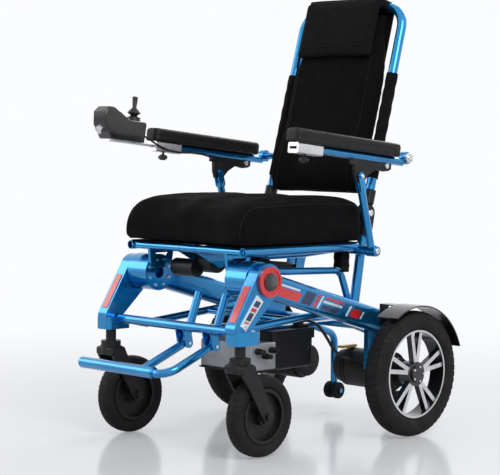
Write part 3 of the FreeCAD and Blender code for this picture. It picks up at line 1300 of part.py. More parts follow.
def arm_pivot_tube():
    """Cross tube behind the back that the armrests turn on, with its caps."""
    reach = ARM_X + 8 + GAP
    rod_solid = rod(at(-reach, ARM_PIVOT_Y, ARM_PIVOT_Z), at(reach, ARM_PIVOT_Y, ARM_PIVOT_Z), ARM_PIVOT_DIA)
    cap = disc(at(reach, ARM_PIVOT_Y, ARM_PIVOT_Z), LEFT, CAP_DIA, CAP_DEPTH)
    cap = cap.makeFillet(2, [e for e in cap.Edges if abs(e.BoundBox.XMin - reach - CAP_DEPTH) < 0.01])
    tube = hollowed(rod_solid, at(-reach, ARM_PIVOT_Y, ARM_PIVOT_Z), at(reach, ARM_PIVOT_Y, ARM_PIVOT_Z),
                    ARM_PIVOT_DIA)
    back = back_tube_cope()
    return tube.cut(back), cap


def back_tube_cope():
    return back_tilted(back_tube_rod(BACK_TUBE_DIA))


def control_outline():
    """Side outline of the joystick box before the armrest's slope, as (y, z) points."""
    low = slot_z() + BAR_DEPTH / 2
    front = BOX_FRONT_Y
    rear = BOX_FRONT_Y + BOX_LENGTH
    return [(front + 26, low), (front + 2, low + 34), (front, low + 66), (front + 14, low + BOX_NOSE_HEIGHT),
            (front + 30, low + BOX_NOSE_HEIGHT), (front + 84, low + BOX_REAR_HEIGHT),
            (rear - 4, low + BOX_REAR_HEIGHT), (rear, low + BOX_REAR_HEIGHT - 6), (rear - 4, low)]


def stick_foot():
    return at(-ARM_X, STICK_Y, slot_z() + BAR_DEPTH / 2 + BOX_REAR_HEIGHT)


def control_box():
    """Joystick box shell with the well for the joystick and the pockets for two buttons."""
    half = BOX_WIDTH / 2
    body = plate(control_outline(), -ARM_X - half, BOX_WIDTH)
    side_edges = [e for e in body.Edges if abs(e.tangentAt(e.FirstParameter).x) < 0.01]
    body = body.makeFillet(4, side_edges)
    foot = stick_foot()
    well = Part.makeSphere(BOOT_DIA / 2 + GAP, foot)
    body = body.cut(well)
    for button_x in (-BUTTON_X_STEP / 2, BUTTON_X_STEP / 2):
        body = body.cut(button_solid(button_x, 2 * FIT + 0.4, 2 * BUTTON_TRAVEL))
    return arm_tilted(body)


def nose_slope():
    """Angle of the raised nose's upper face, which the buttons stand on."""
    outline = control_outline()
    (y1, z1), (y2, z2) = outline[4], outline[5]
    return math.atan2(z2 - z1, y2 - y1), (y1 + y2) / 2, (z1 + z2) / 2


def button_solid(offset_x, grow, deeper):
    """A round button, square to the nose's upper face, in the level pose."""
    slope, y, z = nose_slope()
    out = at(0, -math.sin(slope), math.cos(slope))
    face = at(-ARM_X + offset_x, y, z)
    depth = 5 + deeper
    return disc(face - out * depth, out, BUTTON_DIA + grow, depth + (2.5 if deeper == 0 else 5))


def button(offset_x):
    cap = button_solid(offset_x, 0.0, 0.0)
    return arm_tilted(cap)


def control_bar():
    """Flat slotted bar from the armrest clamp forward under the joystick box."""
    front = BOX_FRONT_Y + 32
    rear = CLAMP_FRONT_Y + SLOT_DEPTH - 12
    low = at(-ARM_X - BAR_WIDTH / 2, front, slot_z() - BAR_DEPTH / 2)
    high = at(-ARM_X + BAR_WIDTH / 2, rear, slot_z() + BAR_DEPTH / 2)
    bar = rounded_box(low, high, 5, UP)
    slot = rounded_box(at(-ARM_X - 3, BOX_FRONT_Y + BOX_LENGTH + 4, low.z), at(-ARM_X + 3, CLAMP_FRONT_Y - 6, high.z),
                       2.9, UP)
    return arm_tilted(bar.cut(slot))


def charge_port():
    """Silver socket in the front of the box, below the nose."""
    low = slot_z() + BAR_DEPTH / 2
    centre = at(-ARM_X, BOX_FRONT_Y + 9, low + 24)
    axis = at(0, -34, -24)
    return arm_tilted(disc(centre, axis, PORT_DIA, 11).cut(raw_control_box()))


def raw_control_box():
    half = BOX_WIDTH / 2
    return plate(control_outline(), -ARM_X - half, BOX_WIDTH)


def joystick_boot():
    """Gimbal ring with the bellows above it, tilting about X."""
    foot = stick_foot()
    ball = Part.makeSphere(BOOT_DIA / 2, foot)
    ball = ball.common(box(foot - at(40, 40, 9), foot + at(40, 40, 6)))
    ribs = []
    for level, wide in ((6, 0.62), (11, 0.86), (18, 0.5)):
        ribs.append(Part.makeCone(BOOT_DIA / 2 * wide, BOOT_DIA / 2 * wide * 0.66, 6, foot + at(0, 0, level), UP))
    body = ball.fuse(ribs).removeSplitter().cut(stick_bore())
    for axis in (LEFT, BACK):
        body = body.cut(disc(foot - axis * BOOT_DIA, axis, TILT_PIN_DIA, 2 * BOOT_DIA))
    return arm_tilted(body)


def stick_bore():
    """The funnel in the boot that lets the stick tilt sideways."""
    foot = stick_foot()
    return Part.makeCone(4.5, 4.5 + 32 * math.tan(math.radians(STICK_TILT + 1)), 32, foot, UP)


def joystick():
    foot = stick_foot()
    shaft = disc(foot + at(0, 0, 1), UP, 6, 27)
    knob = Part.makeCone(STICK_DIA * 0.34, STICK_DIA / 2, STICK_HEIGHT - 28, foot + at(0, 0, 28), UP)
    knob = knob.makeFillet(1.5, [e for e in knob.Edges if e.BoundBox.ZMin > foot.z + STICK_HEIGHT - 0.01])
    return arm_tilted(shaft.fuse(knob).removeSplitter())


def motor_cable():
    """Lead from the battery socket down to the near motor's inner end."""
    points = [at(*p) for p in CABLE_POINTS]
    return round_cord(points, CABLE_DIA, "motor cable")


def control_cable():
    """Lead from the joystick box back along the armrest tube, routed before the armrest's slope."""
    points = [at(*p) for p in CONTROL_CABLE_POINTS]
    return arm_tilted(round_cord(points, CONTROL_CABLE_DIA, "control cable"))


def round_cord(points, diameter, label):
    """A cord's tube: straight runs joined by the largest arcs that fit each corner."""
    edges = []
    start = points[0]
    radii = []
    for before, corner, after in zip(points, points[1:], points[2:]):
        shorter = min((corner - before).Length, (after - corner).Length)
        come = (corner - before).normalize()
        leave = (after - corner).normalize()
        half_turn = come.getAngle(leave) / 2
        cut_back = 0.45 * shorter
        radius = cut_back / math.tan(half_turn)
        radii.append(radius)
        inward = (leave - come).normalize()
        middle = corner + inward * (radius / math.cos(half_turn) - radius)
        arc_start = corner - come * cut_back
        arc_end = corner + leave * cut_back
        edges.append(Part.LineSegment(start, arc_start).toShape())
        edges.append(Part.Arc(arc_start, middle, arc_end).toShape())
        start = arc_end
    edges.append(Part.LineSegment(start, points[-1]).toShape())
    path = Part.Wire(edges)
    ring = Part.Wire([Part.makeCircle(diameter / 2, points[0], points[1] - points[0])])
    tube = path.makePipeShell([ring], True, False)
    print(label, "length", round(path.Length), "radii", [round(r) for r in radii],
          "volume ratio", round(tube.Volume / (path.Length * math.pi * diameter ** 2 / 4), 3))
    return tube


def save(name, shape):
    """Write one named node and say how many solids it has."""
    for solid in shape.Solids:
        assert solid.isValid(), name
    shape = Part.Compound(shape.Solids)
    shape.exportStep("parts/" + name + ".step")
    print(name, len(shape.Solids), round(shape.Volume / 1000, 1))


def group(*shapes):
    return Part.Compound([s for s in shapes])


def with_mirror(*shapes):
    return Part.Compound(list(shapes) + [mirrored(s) for s in shapes])


def save_pair(name, shape):
    """The left node and its mirrored right twin."""
    save(name + "_left", shape)
    save(name + "_right", mirrored(shape))


def save_frame():
    save_pair("main_beam", group(main_beam(), beam_end_cap()))
    barrel, bolts = hub_barrel()
    save("hub_barrels", with_mirror(barrel, *bolts))
    save("seat_brackets", with_mirror(seat_bracket()))
    rails, bowed, front, middle = seat_frame()
    lugs = actuator_mounts()
    save("seat_frame", group(front, middle, bowed, mirrored(bowed), *rails, *[mirrored(r) for r in rails], *lugs))
    save("base_tubes", with_mirror(base_tube().cut(rod(*rear_strut_points(), BACK_TUBE_DIA))))
    save("seat_fabric", group(seat_sling(), base_strap(), mirrored(base_strap())))
    strut_tube, tie = rear_strut()
    save("rear_struts", with_mirror(strut_tube, tie))
    body, pin = lower_knuckle()
    save("lower_knuckles", with_mirror(body, pin))
    tube, end = pivot_tube()
    save("pivot_tube", group(tube, end, mirrored(end)))
    cross, saddle = axle_frame()
    save("axle_frame", group(cross, saddle, mirrored(saddle), hanger()))
    save("fenders", with_mirror(fender()))
    save("anti_tip_arms", with_mirror(anti_tip_arm()))


def save_drive():
    save("motors", group(motor().cut(motor_cable()), mirrored(motor())))
    save_pair("freewheel_lever", freewheel_lever())
    save_pair("rear_tyre", rear_tyre())
    save_pair("rear_rim", rear_rim())
    save_pair("tip_rollers", rollers())
    save("battery_case", group(*battery(), battery_socket()))
    save("power_box", group(*power_box(), power_plugs()))
    save("motor_cable", motor_cable())
    body, side_motor, push_rod = actuator()
    save("actuator", group(body, side_motor, push_rod))


def save_front():
    save_pair("strut", strut())
    strip, panel = strut_trim()
    save("strut_trim", with_mirror(strip, panel, hub_disc()))
    save("caster_housings", with_mirror(caster_housing()))
    bar_ends = at(-300, CROSSBAR_Y, CROSSBAR_Z), at(300, CROSSBAR_Y, CROSSBAR_Z)
    bar = hollowed(crossbar_rod(), bar_ends[0], bar_ends[1], CROSSBAR_DIA)
    ears, pins = foot_ears()
    link_plates, link_pin = link_ears()
    save("crossbar", group(bar, *ears, *pins, with_mirror(*link_plates, link_pin)))
    side, cross = link_frame()
    save("link_frame", group(side, mirrored(side), cross))
    save_pair("caster_fork", caster_fork())
    save_pair("caster_tyre", caster_tyre())
    save_pair("caster_wheel", caster_wheel())
    save("foot_frame", group(*foot_frame()))
    save("foot_sleeve", group(*foot_sleeve()))


def save_soft():
    save("seat_cushion", seat_cushion())
    save("back_tube", back_tube())
    save("upper_knuckles", with_mirror(upper_knuckle()))
    save("back_cushion", back_cushion())
    save("back_panel", group(back_panel(), tube_sleeve(), mirrored(tube_sleeve())))
    save("head_pillow", head_pillow())


def save_arms():
    tube, cap = arm_pivot_tube()
    save("arm_pivot_tube", group(tube, cap, mirrored(cap)))
    save("arm_pads", with_mirror(arm_pad()))
    save("arm_frames", with_mirror(*arm_frame(), arm_clamp()))
    save("arm_brackets", with_mirror(arm_bracket(), *bracket_bolts()))
    save("arm_posts", with_mirror(arm_post()))
    save_pair("clamp_knob", clamp_knob())
    save("control_box", control_box())
    save("control_bar", group(control_bar(), charge_port()))
    save("control_cable", control_cable())
    save("joystick_boot", joystick_boot())
    save("joystick", joystick())
    save("power_button", button(-BUTTON_X_STEP / 2))
    save("horn_button", button(BUTTON_X_STEP / 2))


save_frame()
save_drive()
save_front()
save_soft()
save_arms()
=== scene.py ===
import bpy
import bmesh
import json
import math
from mathutils import Matrix, Vector, noise
from mathutils.bvhtree import BVHTree


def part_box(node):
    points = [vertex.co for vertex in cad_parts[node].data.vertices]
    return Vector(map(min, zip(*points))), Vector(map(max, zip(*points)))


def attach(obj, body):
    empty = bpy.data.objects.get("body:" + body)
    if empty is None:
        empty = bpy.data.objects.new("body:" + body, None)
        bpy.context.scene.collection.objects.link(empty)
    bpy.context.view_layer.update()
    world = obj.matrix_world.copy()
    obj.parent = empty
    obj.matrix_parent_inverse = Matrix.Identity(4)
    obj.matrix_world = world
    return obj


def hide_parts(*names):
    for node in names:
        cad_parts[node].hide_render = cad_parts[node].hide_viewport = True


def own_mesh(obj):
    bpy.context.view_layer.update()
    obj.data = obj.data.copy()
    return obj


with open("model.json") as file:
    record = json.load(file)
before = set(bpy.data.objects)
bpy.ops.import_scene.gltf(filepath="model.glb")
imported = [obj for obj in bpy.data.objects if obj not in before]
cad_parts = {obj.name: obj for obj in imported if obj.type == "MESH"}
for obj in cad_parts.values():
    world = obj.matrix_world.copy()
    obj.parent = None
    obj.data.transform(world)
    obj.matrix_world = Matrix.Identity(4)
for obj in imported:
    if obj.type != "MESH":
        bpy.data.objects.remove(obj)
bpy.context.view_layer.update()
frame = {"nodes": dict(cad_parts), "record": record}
NODES = frame["nodes"]
BODY = {n: b for b, names in frame["record"]["behaviour"]["bodies"].items() for n in names}
HUB = Vector((0, -0.473, 0.414))
BEAM_FALL = math.radians(15.5)
RECLINE = math.radians(15.5)
FOLD = Vector((0, -0.050, 0.565))
STRUT_FOOT = Vector((0, -0.563, 0.306))
POST_TOP = (-0.164, 0.661)
ARM_PIVOT = (0.012, 0.706)
BASE_PIVOT = (-0.113, 0.474)
WHEEL_X = 0.290
WHEEL_Z = 0.160
BACK_TUBE_X = 0.174
SIDES = (("left", 1), ("right", -1))
ARM_SLOPE = math.radians(5.4)


# Materials

def wire(tree, a, b):
    tree.links.new(a, b)


def shader(name):
    m = bpy.data.materials.new(name)
    m.use_nodes = True
    tree = m.node_tree
    return m, tree, tree.nodes["Principled BSDF"], tree.nodes.new("ShaderNodeTexCoord").outputs["Object"]


def texture(tree, coords, kind, scale, detail=3.0, stretch=None):
    """One procedural texture in the row frame's metres, so its grain keeps its real size."""
    if stretch:
        mapping = tree.nodes.new("ShaderNodeMapping")
        mapping.inputs["Scale"].default_value = stretch
        wire(tree, coords, mapping.inputs["Vector"])
        coords = mapping.outputs["Vector"]
    if kind == "noise":
        t = tree.nodes.new("ShaderNodeTexNoise")
        t.inputs["Detail"].default_value = detail
        out = t.outputs["Fac"]
    elif kind == "cells":
        t = tree.nodes.new("ShaderNodeTexVoronoi")
        out = t.outputs["Distance"]
    else:
        t = tree.nodes.new("ShaderNodeTexWave")
        t.bands_direction = kind
        t.inputs["Distortion"].default_value = 0.6
        t.inputs["Detail"].default_value = 1.0
        out = t.outputs["Fac"]
    t.inputs["Scale"].default_value = scale
    wire(tree, coords, t.inputs["Vector"])
    return out


def spread(tree, value, low, high):
    """The texture's middle range, stretched to run from low to high."""
    m = tree.nodes.new("ShaderNodeMapRange")
    for key, number in (("From Min", 0.3), ("From Max", 0.7), ("To Min", low), ("To Max", high)):
        m.inputs[key].default_value = number
    wire(tree, value, m.inputs["Value"])
    return m.outputs["Result"]


def blend_colour(tree, factor, a, b):
    mix = tree.nodes.new("ShaderNodeMix")
    mix.data_type = "RGBA"
    for socket, colour in ((mix.inputs[6], a), (mix.inputs[7], b)):
        if isinstance(colour, tuple):
            socket.default_value = (*colour, 1)
        else:
            wire(tree, colour, socket)
    wire(tree, factor, mix.inputs[0])
    return mix.outputs[2]


def surface(name, light, dark, rough, metal=0.0, coat=0.0, sheen=0.0, patch=9.0, bumps=(), edge=0.0, wear=None,
            shine=0.5):
    """A finish: colour that drifts between two tones, uneven roughness, and layered relief."""
    m, tree, bsdf, coords = shader(name)
    drift = spread(tree, texture(tree, coords, "noise", patch, 5.0), 0.0, 1.0)
    colour = blend_colour(tree, drift, dark, light)
    if wear:
        scuffs = spread(tree, texture(tree, coords, "noise", wear[1], 6.0), -2.2, 1.2)
        scuffs.node.clamp = True
        colour = blend_colour(tree, scuffs, colour, wear[0])
    wire(tree, colour, bsdf.inputs["Base Color"])
    wire(tree, spread(tree, texture(tree, coords, "noise", patch * 4), rough[0], rough[1]), bsdf.inputs["Roughness"])
    bsdf.inputs["Metallic"].default_value = metal
    bsdf.inputs["Coat Weight"].default_value = coat
    bsdf.inputs["Coat Roughness"].default_value = 0.06
    bsdf.inputs["Sheen Weight"].default_value = sheen
    bsdf.inputs["Sheen Roughness"].default_value = 0.45
    bsdf.inputs["Specular IOR Level"].default_value = shine
    normal = None
    if edge:
        rounding = tree.nodes.new("ShaderNodeBevel")
        rounding.samples = 4
        rounding.inputs["Radius"].default_value = edge
        normal = rounding.outputs["Normal"]
    for kind, scale, strength, depth, stretch in bumps:
        bump = tree.nodes.new("ShaderNodeBump")
        bump.inputs["Strength"].default_value = strength
        bump.inputs["Distance"].default_value = depth
        wire(tree, texture(tree, coords, kind, scale, stretch=stretch), bump.inputs["Height"])
        if normal:
            wire(tree, normal, bump.inputs["Normal"])
        normal = bump.outputs["Normal"]
    if normal:
        wire(tree, normal, bsdf.inputs["Normal"])
    return m


FINE = ("noise", 900, 0.2, 0.0003, None)
PEEL = ("noise", 180, 0.04, 0.0003, None)
WEAVE = (("X", 150, 0.55, 0.0006, None), ("Z", 150, 0.55, 0.0006, None), ("cells", 520, 0.4, 0.0005, None))
BLUE = surface("blue_lacquer", (0.004, 0.27, 0.60), (0.002, 0.19, 0.47), (0.18, 0.27), 0.82, 0.8, 0, 7,
               (), 0.0008)
FABRIC = surface("black_knit", (0.0048, 0.0048, 0.0056), (0.0026, 0.0026, 0.003), (0.8, 0.95), 0, 0, 0.0, 6,
                 (("noise", 16, 0.25, 0.004, None),) + WEAVE, shine=0.08)
SIDE_FABRIC = surface("black_canvas", (0.0065, 0.0065, 0.0075), (0.0035, 0.0035, 0.004), (0.75, 0.9), 0, 0, 0.0, 10,
                      (("noise", 24, 0.3, 0.004, None), ("X", 230, 0.5, 0.0005, None), ("Z", 230, 0.5, 0.0005, None)),
                      shine=0.1)
PIPING = surface("black_piping", (0.005, 0.005, 0.006), (0.003, 0.003, 0.0035), (0.55, 0.7), 0, 0, 0.0, 60,
                 (("noise", 700, 0.3, 0.0004, None),), shine=0.12)
PLASTIC = surface("black_moulding", (0.010, 0.010, 0.011), (0.005, 0.005, 0.006), (0.36, 0.52), 0, 0, 0, 20,
                  (FINE,), 0.0008, ((0.016, 0.016, 0.017), 34), shine=0.3)
GLOSS = surface("black_gloss", (0.008, 0.008, 0.009), (0.004, 0.004, 0.005), (0.14, 0.26), 0, 0.4, 0, 12,
                (PEEL,), 0.001)
SKIN = surface("armrest_skin", (0.010, 0.010, 0.011), (0.006, 0.006, 0.0065), (0.40, 0.56), 0, 0, 0.02, 30,
               (("cells", 620, 0.35, 0.0005, None), ("noise", 150, 0.15, 0.001, None)), shine=0.25)
RUBBER = surface("tyre_rubber", (0.012, 0.012, 0.013), (0.006, 0.006, 0.0065), (0.60, 0.82), 0, 0, 0, 24,
                 (("noise", 700, 0.3, 0.0005, None),), 0, ((0.017, 0.0165, 0.016), 26), shine=0.22)
SOFT_RUBBER = surface("soft_rubber", (0.009, 0.009, 0.010), (0.005, 0.005, 0.006), (0.45, 0.62), 0, 0, 0, 40,
                      (FINE,))
STEEL = surface("satin_steel", (0.78, 0.78, 0.80), (0.60, 0.60, 0.63), (0.20, 0.38), 1.0, 0, 0, 40,
                (("noise", 120, 0.12, 0.0003, (1, 1, 24)),), 0.0005)
ALLOY = surface("cast_alloy", (0.74, 0.74, 0.75), (0.60, 0.60, 0.62), (0.26, 0.44), 0.9, 0, 0, 30,
                (("noise", 480, 0.2, 0.0004, None),), 0.0006)
GREY = surface("grey_case", (0.42, 0.43, 0.45), (0.32, 0.33, 0.35), (0.34, 0.5), 0.55, 0, 0, 26, (FINE,), 0.001)
RED = surface("red_trim", (0.70, 0.020, 0.022), (0.55, 0.012, 0.015), (0.22, 0.34), 0.1, 0.8, 0, 20, (PEEL,), 0.0005)
WHITE = surface("silver_foil", (0.78, 0.80, 0.83), (0.62, 0.65, 0.70), (0.25, 0.38), 0.35, 0.6, 0, 18, (PEEL,), 0.0005)
NAVY = surface("navy_foil", (0.010, 0.030, 0.11), (0.006, 0.016, 0.07), (0.25, 0.4), 0.2, 0.7, 0, 20, (PEEL,))
YELLOW = surface("yellow_lever", (0.90, 0.56, 0.03), (0.78, 0.44, 0.02), (0.32, 0.46), 0, 0.2, 0, 30, (FINE,), 0.0006)


# CAD nodes: smooth shading and a finish for every solid

def islands(mesh):
    """Each separate solid's polygons, with its lowest and highest corner."""
    parent = {}

    def root(k):
        while parent[k] != k:
            parent[k] = parent[parent[k]]
            k = parent[k]
        return k

    keys = [tuple(round(c * 2e4) for c in v.co) for v in mesh.vertices]
    for k in keys:
        parent[k] = k
    for p in mesh.polygons:
        first = root(keys[p.vertices[0]])
        for v in p.vertices[1:]:
            parent[root(keys[v])] = first
    found = {}
    for p in mesh.polygons:
        found.setdefault(root(keys[p.vertices[0]]), []).append(p)
    for polygons in found.values():
        points = [mesh.vertices[v].co for p in polygons for v in p.vertices]
        low = Vector((min(q[i] for q in points) for i in range(3)))
        high = Vector((max(q[i] for q in points) for i in range(3)))
        yield polygons, low, high


def dress(node, main, rule=None):
    """Gives a CAD node its finish, and single solids or faces their own where the rule says so."""
    o = NODES[node]
    mesh = o.data
    mesh.materials.clear()
    mesh.materials.append(main)
    used = [main]
    if rule:
        for polygons, low, high in islands(mesh):
            for p in polygons:
                choice = rule(low, high, p)
                if choice and choice not in used:
                    used.append(choice)
                    mesh.materials.append(choice)
                p.material_index = used.index(choice) if choice else 0
    if "custom_normal" in mesh.attributes:
        mesh.attributes.remove(mesh.attributes["custom_normal"])
    mesh.polygons.foreach_set("use_smooth", [True] * len(mesh.polygons))
    weld = o.modifiers.new("weld", "WELD")
    weld.merge_threshold = 0.000002
    split = o.modifiers.new("edges", "EDGE_SPLIT")
    split.split_angle = math.radians(32)


def size_of(low, high):
    return max(high[i] - low[i] for i in range(3))


def small_steel(limit):
    return lambda low, high, p: STEEL if size_of(low, high) < limit else None


def caps_rule(low, high, p):
    return STEEL if high.x - low.x < 0.06 else None


def trim_rule(low, high, p):
    centre = (low + high) / 2
    is_hub_disc = math.hypot(centre.y - HUB.y, centre.z - HUB.z) < 0.012
    return RED if is_hub_disc or high.x - low.x > 0.012 else WHITE


def frame_rule(low, high, p):
    centre = (low + high) / 2
    return ALLOY if high.y - low.y < 0.12 and centre.y < -0.3 else None


def rim_rule(low, high, p):
    if size_of(low, high) < 0.08:
        return None
    reach = math.hypot(p.center.y, p.center.z - WHEEL_Z)
    outward = abs(p.normal.x) > 0.8 and abs(p.center.x) > WHEEL_X
    return ALLOY if outward and 0.028 < reach < 0.112 else None


for name in ("main_beam_left", "main_beam_right", "seat_brackets", "base_tubes", "rear_struts", "axle_frame",
             "strut_left", "strut_right", "link_frame", "foot_frame", "back_tube", "arm_posts",
             "caster_housings", "seat_frame"):
    dress(name, BLUE)
dress("anti_tip_arms", BLUE, small_steel(0.06))
dress("hub_barrels", BLUE, small_steel(0.012))
dress("crossbar", BLUE, small_steel(0.04))
dress("foot_sleeve", BLUE, small_steel(0.03))
dress("lower_knuckles", PLASTIC, small_steel(0.045))
dress("upper_knuckles", PLASTIC)
dress("strut_trim", WHITE, trim_rule)
dress("pivot_tube", BLUE, caps_rule)
dress("arm_pivot_tube", BLUE, caps_rule)
dress("arm_frames", BLUE, frame_rule)
dress("arm_brackets", PLASTIC, small_steel(0.03))
dress("fenders", GLOSS)
dress("motors", PLASTIC)
dress("battery_case", PLASTIC)
dress("power_box", GREY, lambda low, high, p: PLASTIC if high.y - low.y < 0.05 or high.z - low.z < 0.01 else None)
dress("actuator", PLASTIC, lambda low, high, p: STEEL if high.z - low.z < 0.03 else None)
dress("motor_cable", SOFT_RUBBER)
dress("control_cable", SOFT_RUBBER)
dress("control_box", GLOSS)
dress("control_bar", STEEL)
dress("power_button", RED)
dress("horn_button", PLASTIC)
for side in ("left", "right"):
    dress("caster_fork_" + side, PLASTIC, small_steel(0.085))
    dress("caster_wheel_" + side, PLASTIC)
    dress("rear_rim_" + side, GLOSS, rim_rule)
    dress("freewheel_lever_" + side, YELLOW)
    dress("tip_rollers_" + side, RUBBER)
    dress("clamp_knob_" + side, PLASTIC)


# Helpers for the pieces made here

def add_mesh(name, points, faces, material, body, smooth=True):
    mesh = bpy.data.meshes.new(name)
    mesh.from_pydata([tuple(p) for p in points], [], faces)
    mesh.materials.append(material)
    mesh.polygons.foreach_set("use_smooth", [smooth] * len(faces))
    o = bpy.data.objects.new(name, mesh)
    bpy.context.scene.collection.objects.link(o)
    bm = bmesh.new()
    bm.from_mesh(mesh)
    bmesh.ops.recalc_face_normals(bm, faces=bm.faces)
    bm.to_mesh(mesh)
    bm.free()
    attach(o, body)
    return o


def axes_for(axis):
    axis = Vector(axis).normalized()
    side = axis.orthogonal().normalized()
    return axis, side, axis.cross(side)


def lathe(name, centre, axis, profile, material, body, steps=48, shape=None):
    """A closed turned form: profile is (along, radius) points; shape may alter a radius by its angle."""
    axis, side, up = axes_for(axis)
    points = []
    for i in range(steps):
        turn = 2 * math.pi * i / steps
        out = side * math.cos(turn) + up * math.sin(turn)
        for j, (along, radius) in enumerate(profile):
            r = radius + (shape(turn, along, radius) if shape else 0.0)
            points.append(Vector(centre) + axis * along + out * r)
    n = len(profile)
    faces = []
    for i in range(steps):
        k = (i + 1) % steps
        for j in range(n):
            m = (j + 1) % n
            faces.append((i * n + j, i * n + m, k * n + m, k * n + j))
    return add_mesh(name, points, faces, material, body)


def bolt(name, centre, axis, radius, body, depth=None):
    """A domed cap screw with a hexagon socket."""
    axis, side, up = axes_for(axis)
    depth = depth or radius * 0.6
    rings = ((0.0, 1.0), (depth * 0.6, 1.0), (depth * 0.9, 0.86), (depth, 0.62))
    points = []
    for along, share in rings:
        for i in range(24):
            turn = 2 * math.pi * i / 24
            out = side * math.cos(turn) + up * math.sin(turn)
            points.append(Vector(centre) + axis * along + out * radius * share)
    for along in (depth, depth * 0.35):
        for i in range(6):
            turn = 2 * math.pi * (i + 0.5) / 6
            out = side * math.cos(turn) + up * math.sin(turn)
            points.append(Vector(centre) + axis * along + out * radius * 0.46)
    faces = []
    for r in range(3):
        for i in range(24):
            k = (i + 1) % 24
            faces.append((r * 24 + i, r * 24 + k, (r + 1) * 24 + k, (r + 1) * 24 + i))
    for i in range(24):
        k = (i + 1) % 24
        a = i // 4 % 6
        b = k // 4 % 6
        faces.append((72 + i, 72 + k, 96 + a))
        if a != b:
            faces.append((72 + k, 96 + b, 96 + a))
    for i in range(6):
        k = (i + 1) % 6
        faces.append((96 + i, 96 + k, 102 + k, 102 + i))
    faces.append(tuple(102 + i for i in range(6)))
    faces.append(tuple(range(23, -1, -1)))
    o = add_mesh(name, points, faces, STEEL, body, False)
    o.modifiers.new("edges", "EDGE_SPLIT").split_angle = math.radians(40)
    o.data.polygons.foreach_set("use_smooth", [True] * len(o.data.polygons))
    return o


def tube_line(name, points, radius, material, body, closed=False):
    """A thin round line, such as piping or a seam, along points in the row frame."""
    curve = bpy.data.curves.new(name, "CURVE")
    curve.dimensions = "3D"
    curve.bevel_depth = radius
    curve.bevel_resolution = 2
    spline = curve.splines.new("POLY")
    spline.points.add(len(points) - 1)
    for point, co in zip(spline.points, points):
        point.co = (*co, 1)
    spline.use_cyclic_u = closed
    curve.materials.append(material)
    shown = bpy.data.objects.new(name + "_line", curve)
    bpy.context.scene.collection.objects.link(shown)
    mesh = bpy.data.meshes.new_from_object(shown.evaluated_get(bpy.context.evaluated_depsgraph_get()))
    bpy.data.objects.remove(shown)
    o = bpy.data.objects.new(name, mesh)
    bpy.context.scene.collection.objects.link(o)
    mesh.polygons.foreach_set("use_smooth", [True] * len(mesh.polygons))
    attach(o, body)
    return o


# Tyres with their tread

def tyre_profile(radius, width, inner):
    """Round the carcass from one bead over the tread to the other, as (along, radius)."""
    half = width / 2
    points = [(-half * 0.72, inner)]
    for k in range(29):
        turn = math.pi * k / 28
        bulge = abs(math.cos(turn)) ** 0.62 * math.copysign(1, math.cos(turn))
        points.append((-half * bulge, inner + (radius - inner) * (0.22 + 0.78 * math.sin(turn) ** 0.55)))
    points.append((half * 0.72, inner))
    return points


def tread(radius, half, pitch, depth, ribs):
    """Grooves: rings round the tyre, and slanted cuts that stop at the middle rib."""
    def shape(turn, along, r):
        if r < radius - 0.016:
            return -0.0006 if radius - 0.026 < r < radius - 0.021 else 0.0
        across = abs(along) / half
        cut = 0.0
        for rib in ribs:
            cut = max(cut, 1.0 - abs(across - rib) / 0.07)
        phase = (turn * pitch / (2 * math.pi) + across * 0.55) % 1.0
        if across > ribs[0]:
            cut = max(cut, 1.0 - abs(phase - 0.5) / 0.16)
        return -depth * max(0.0, min(1.0, cut * 1.6))
    return shape


REAR_TYRE_RADIUS = 0.1598
REAR_TYRE_WIDTH = 0.055
CASTER_TYRE_RADIUS = 0.0978
CASTER_TYRE_WIDTH = 0.042
for side, sign in SIDES:
    rear = lathe("tread_rear_" + side, (sign * WHEEL_X, 0, WHEEL_Z), (1, 0, 0),
                 tyre_profile(REAR_TYRE_RADIUS, REAR_TYRE_WIDTH, 0.1123), RUBBER, "rear_wheel_" + side, 432,
                 tread(REAR_TYRE_RADIUS, REAR_TYRE_WIDTH / 2, 54, 0.0024, (0.16, 0.52)))
    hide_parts("rear_tyre_" + side)
    front = lathe("tread_caster_" + side, (sign * 0.231, -0.488, 0.098), (1, 0, 0),
                  tyre_profile(CASTER_TYRE_RADIUS, CASTER_TYRE_WIDTH, 0.0663), RUBBER, "caster_wheel_" + side, 300,
                  tread(CASTER_TYRE_RADIUS, CASTER_TYRE_WIDTH / 2, 50, 0.0014, (0.10, 0.45)))
    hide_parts("caster_tyre_" + side)


# Soft goods: the CAD solid is remeshed, blown up a little as cloth, then given its seams

def remeshed(node, name, voxel, shrink):
    o = bpy.data.objects.new(name, NODES[node].data.copy())
    bpy.context.scene.collection.objects.link(o)
    o.data.materials.clear()
    for kind, settings in (("REMESH", {"mode": "VOXEL", "voxel_size": voxel}),
                           ("SMOOTH", {"iterations": 6, "factor": 0.5}),
                           ("DISPLACE", {"strength": -shrink, "mid_level": 0.0})):
        modifier = o.modifiers.new(kind.lower(), kind)
        for key, value in settings.items():
            setattr(modifier, key, value)
    baked(o)
    return o


def baked(o):
    """Applies the object's modifiers to its mesh."""
    shown = o.evaluated_get(bpy.context.evaluated_depsgraph_get())
    mesh = bpy.data.meshes.new_from_object(shown)
    o.modifiers.clear()
    o.data = mesh


